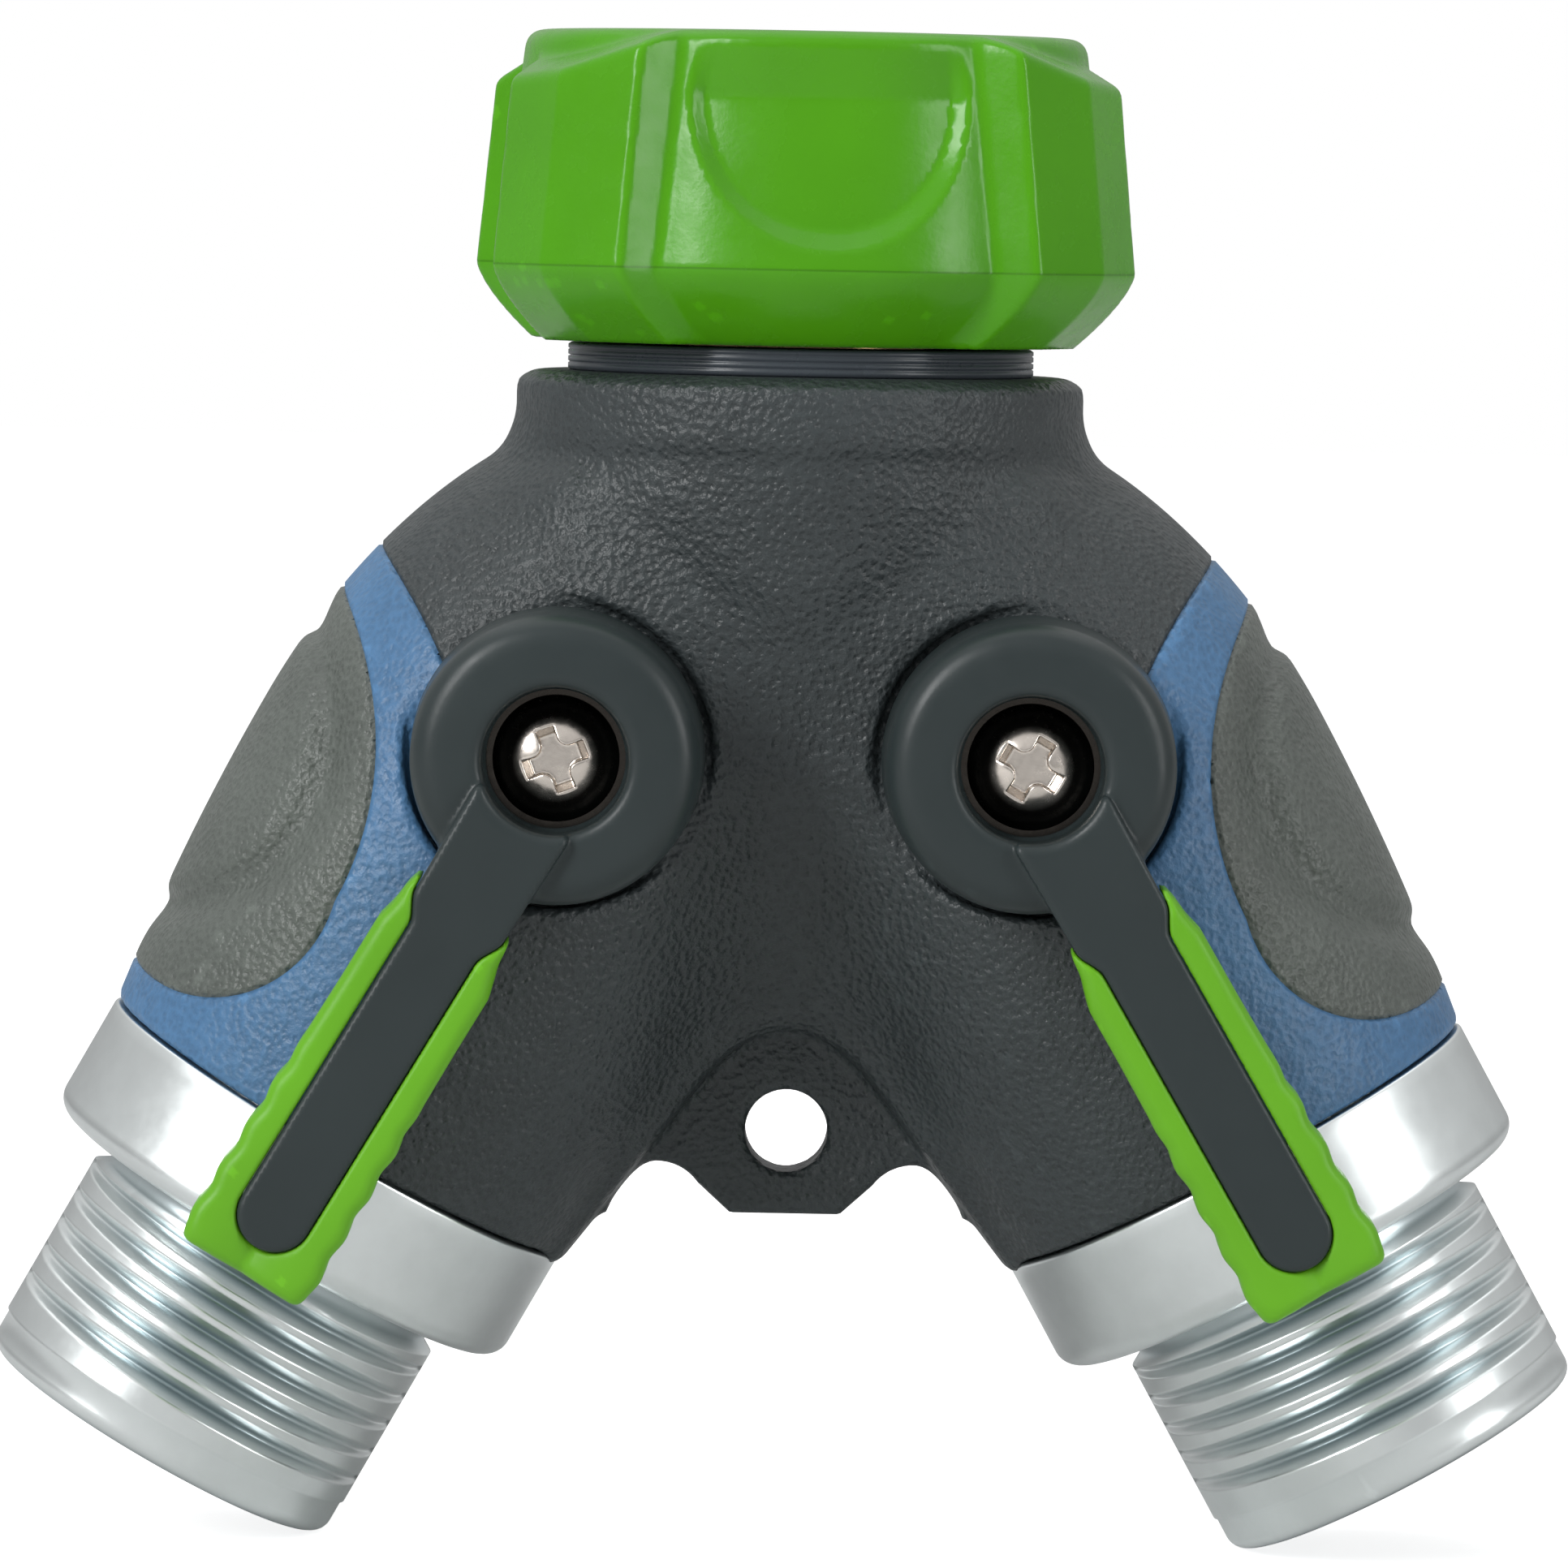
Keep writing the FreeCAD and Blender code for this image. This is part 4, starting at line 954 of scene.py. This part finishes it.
def build_outlet(name, side):
    points, faces = lathe(outlet_rows(), 288, thread_surface)
    # bright falls to 0 in the thread roots, where the metal gets painted shade
    above_root = np.hypot(points[:, 0], points[:, 1]) - thread_root_r
    outlet = make_object("outlet_shell_" + name, on_leg(points, side), faces,
                         np.clip(above_root / 0.7, 0.0, 1.0))
    finish_piece(outlet, "splitter_body", ["outlet_" + name], materials["bright_metal"])


def build_collar():
    points, faces = lathe(collar_rows(), 192)
    collar = make_object("collar_ring", points, faces)
    finish_piece(collar, "splitter_body", ["swivel_collar"], materials["dark_collar"])


# ---- stage, light and camera ----------------------------------------------------------------------
def stage_floor():
    """A pale floor under the outlets; it looks white to the camera but keeps the shadow."""
    z = cad_bounds[0][2]
    size = 3.0
    mesh = bpy.data.meshes.new("floor")
    corners = [(-size, -size, z), (size, -size, z), (size, size, z), (-size, size, z)]
    mesh.from_pydata(corners, [], [(0, 1, 2, 3)])
    floor = bpy.data.objects.new("floor", mesh)
    bpy.context.scene.collection.objects.link(floor)
    s = Shader("floor_paint")
    s.end((0.80, 0.80, 0.80, 1.0), 0.9, s.bump(s.noise(3.0), 0.01))
    path = s.add("ShaderNodeLightPath")
    s.surface.inputs["Emission Color"].default_value = (1.0, 1.0, 1.0, 1.0)
    s.put(s.surface.inputs["Emission Strength"], s.math("MULTIPLY", path.outputs["Is Camera Ray"], 0.78))
    mesh.materials.append(s.material)


def soft_lamp(name, place, target, size, watts):
    lamp = bpy.data.lights.new(name, "AREA")
    lamp.shape = "RECTANGLE"
    lamp.size, lamp.size_y = size
    lamp.energy = watts
    obj = bpy.data.objects.new(name, lamp)
    bpy.context.scene.collection.objects.link(obj)
    obj.location = place
    obj.rotation_euler = (Vector(target) - Vector(place)).to_track_quat("-Z", "Y").to_euler()


glossy_gain = 2.6              # the studio looks this much brighter in reflections


def light_scene(centre):
    soft_lamp("key", centre + Vector((-0.66, -0.66, 0.50)), centre, (0.22, 0.60), 8.0)
    soft_lamp("fill", centre + Vector((0.85, -0.52, 0.22)), centre, (0.20, 0.75), 3.6)
    soft_lamp("top", centre + Vector((0.0, 0.15, 0.9)), centre, (1.1, 0.8), 2.2)
    world = bpy.data.worlds.new("studio")
    bpy.context.scene.world = world
    world.use_nodes = True
    nodes = world.node_tree.nodes
    links = world.node_tree.links
    background = nodes["Background"]
    direction = nodes.new("ShaderNodeTexCoord")
    split = nodes.new("ShaderNodeSeparateXYZ")
    links.new(direction.outputs["Generated"], split.inputs[0])
    height = nodes.new("ShaderNodeMapRange")
    links.new(split.outputs["Z"], height.inputs["Value"])
    height.inputs["From Min"].default_value = -0.35
    height.inputs["From Max"].default_value = 0.75
    height.inputs["To Min"].default_value = 0.05
    height.inputs["To Max"].default_value = 0.34
    path = nodes.new("ShaderNodeLightPath")
    either = nodes.new("ShaderNodeMath")
    either.operation = "MAXIMUM"
    links.new(path.outputs["Is Camera Ray"], either.inputs[0])
    links.new(path.outputs["Is Transmission Ray"], either.inputs[1])
    mirrored = nodes.new("ShaderNodeMath")
    mirrored.operation = "MULTIPLY_ADD"
    links.new(path.outputs["Is Glossy Ray"], mirrored.inputs[0])
    mirrored.inputs[1].default_value = glossy_gain - 1.0
    mirrored.inputs[2].default_value = 1.0
    lit = nodes.new("ShaderNodeMath")
    lit.operation = "MULTIPLY"
    links.new(height.outputs[0], lit.inputs[0])
    links.new(mirrored.outputs[0], lit.inputs[1])
    strength = nodes.new("ShaderNodeMix")
    links.new(either.outputs[0], strength.inputs["Factor"])
    links.new(lit.outputs[0], strength.inputs["A"])
    strength.inputs["B"].default_value = 1.0
    links.new(strength.outputs["Result"], background.inputs["Strength"])
    background.inputs["Color"].default_value = (1.0, 1.0, 1.0, 1.0)


camera_distance = 0.700
camera_height = math.radians(3.4)
camera_roll = math.radians(1.1)
frame_width = 0.1088
frame_centre = Vector((-0.0006, 0.0, -0.0414))


def place_camera():
    camera = bpy.data.cameras.new("camera")
    camera.sensor_width = 36.0
    camera.lens = camera.sensor_width * camera_distance / frame_width
    camera.clip_start = 0.01
    obj = bpy.data.objects.new("camera", camera)
    bpy.context.scene.collection.objects.link(obj)
    place = frame_centre + camera_distance * Vector((0, -math.cos(camera_height), math.sin(camera_height)))
    look = (frame_centre - place).to_track_quat("-Z", "Y").to_matrix().to_4x4()
    obj.matrix_world = Matrix.Translation(place) @ look @ Matrix.Rotation(camera_roll, 4, "Z")
    bpy.context.scene.camera = obj


paint_frame()
build_skin()
build_nut()
build_collar()
for side_name, side_sign in SIDES.items():
    build_lever(side_name, side_sign)
    build_outlet(side_name, side_sign)
stage_floor()
light_scene(frame_centre)
place_camera()
bpy.context.scene.view_settings.view_transform = "Standard"
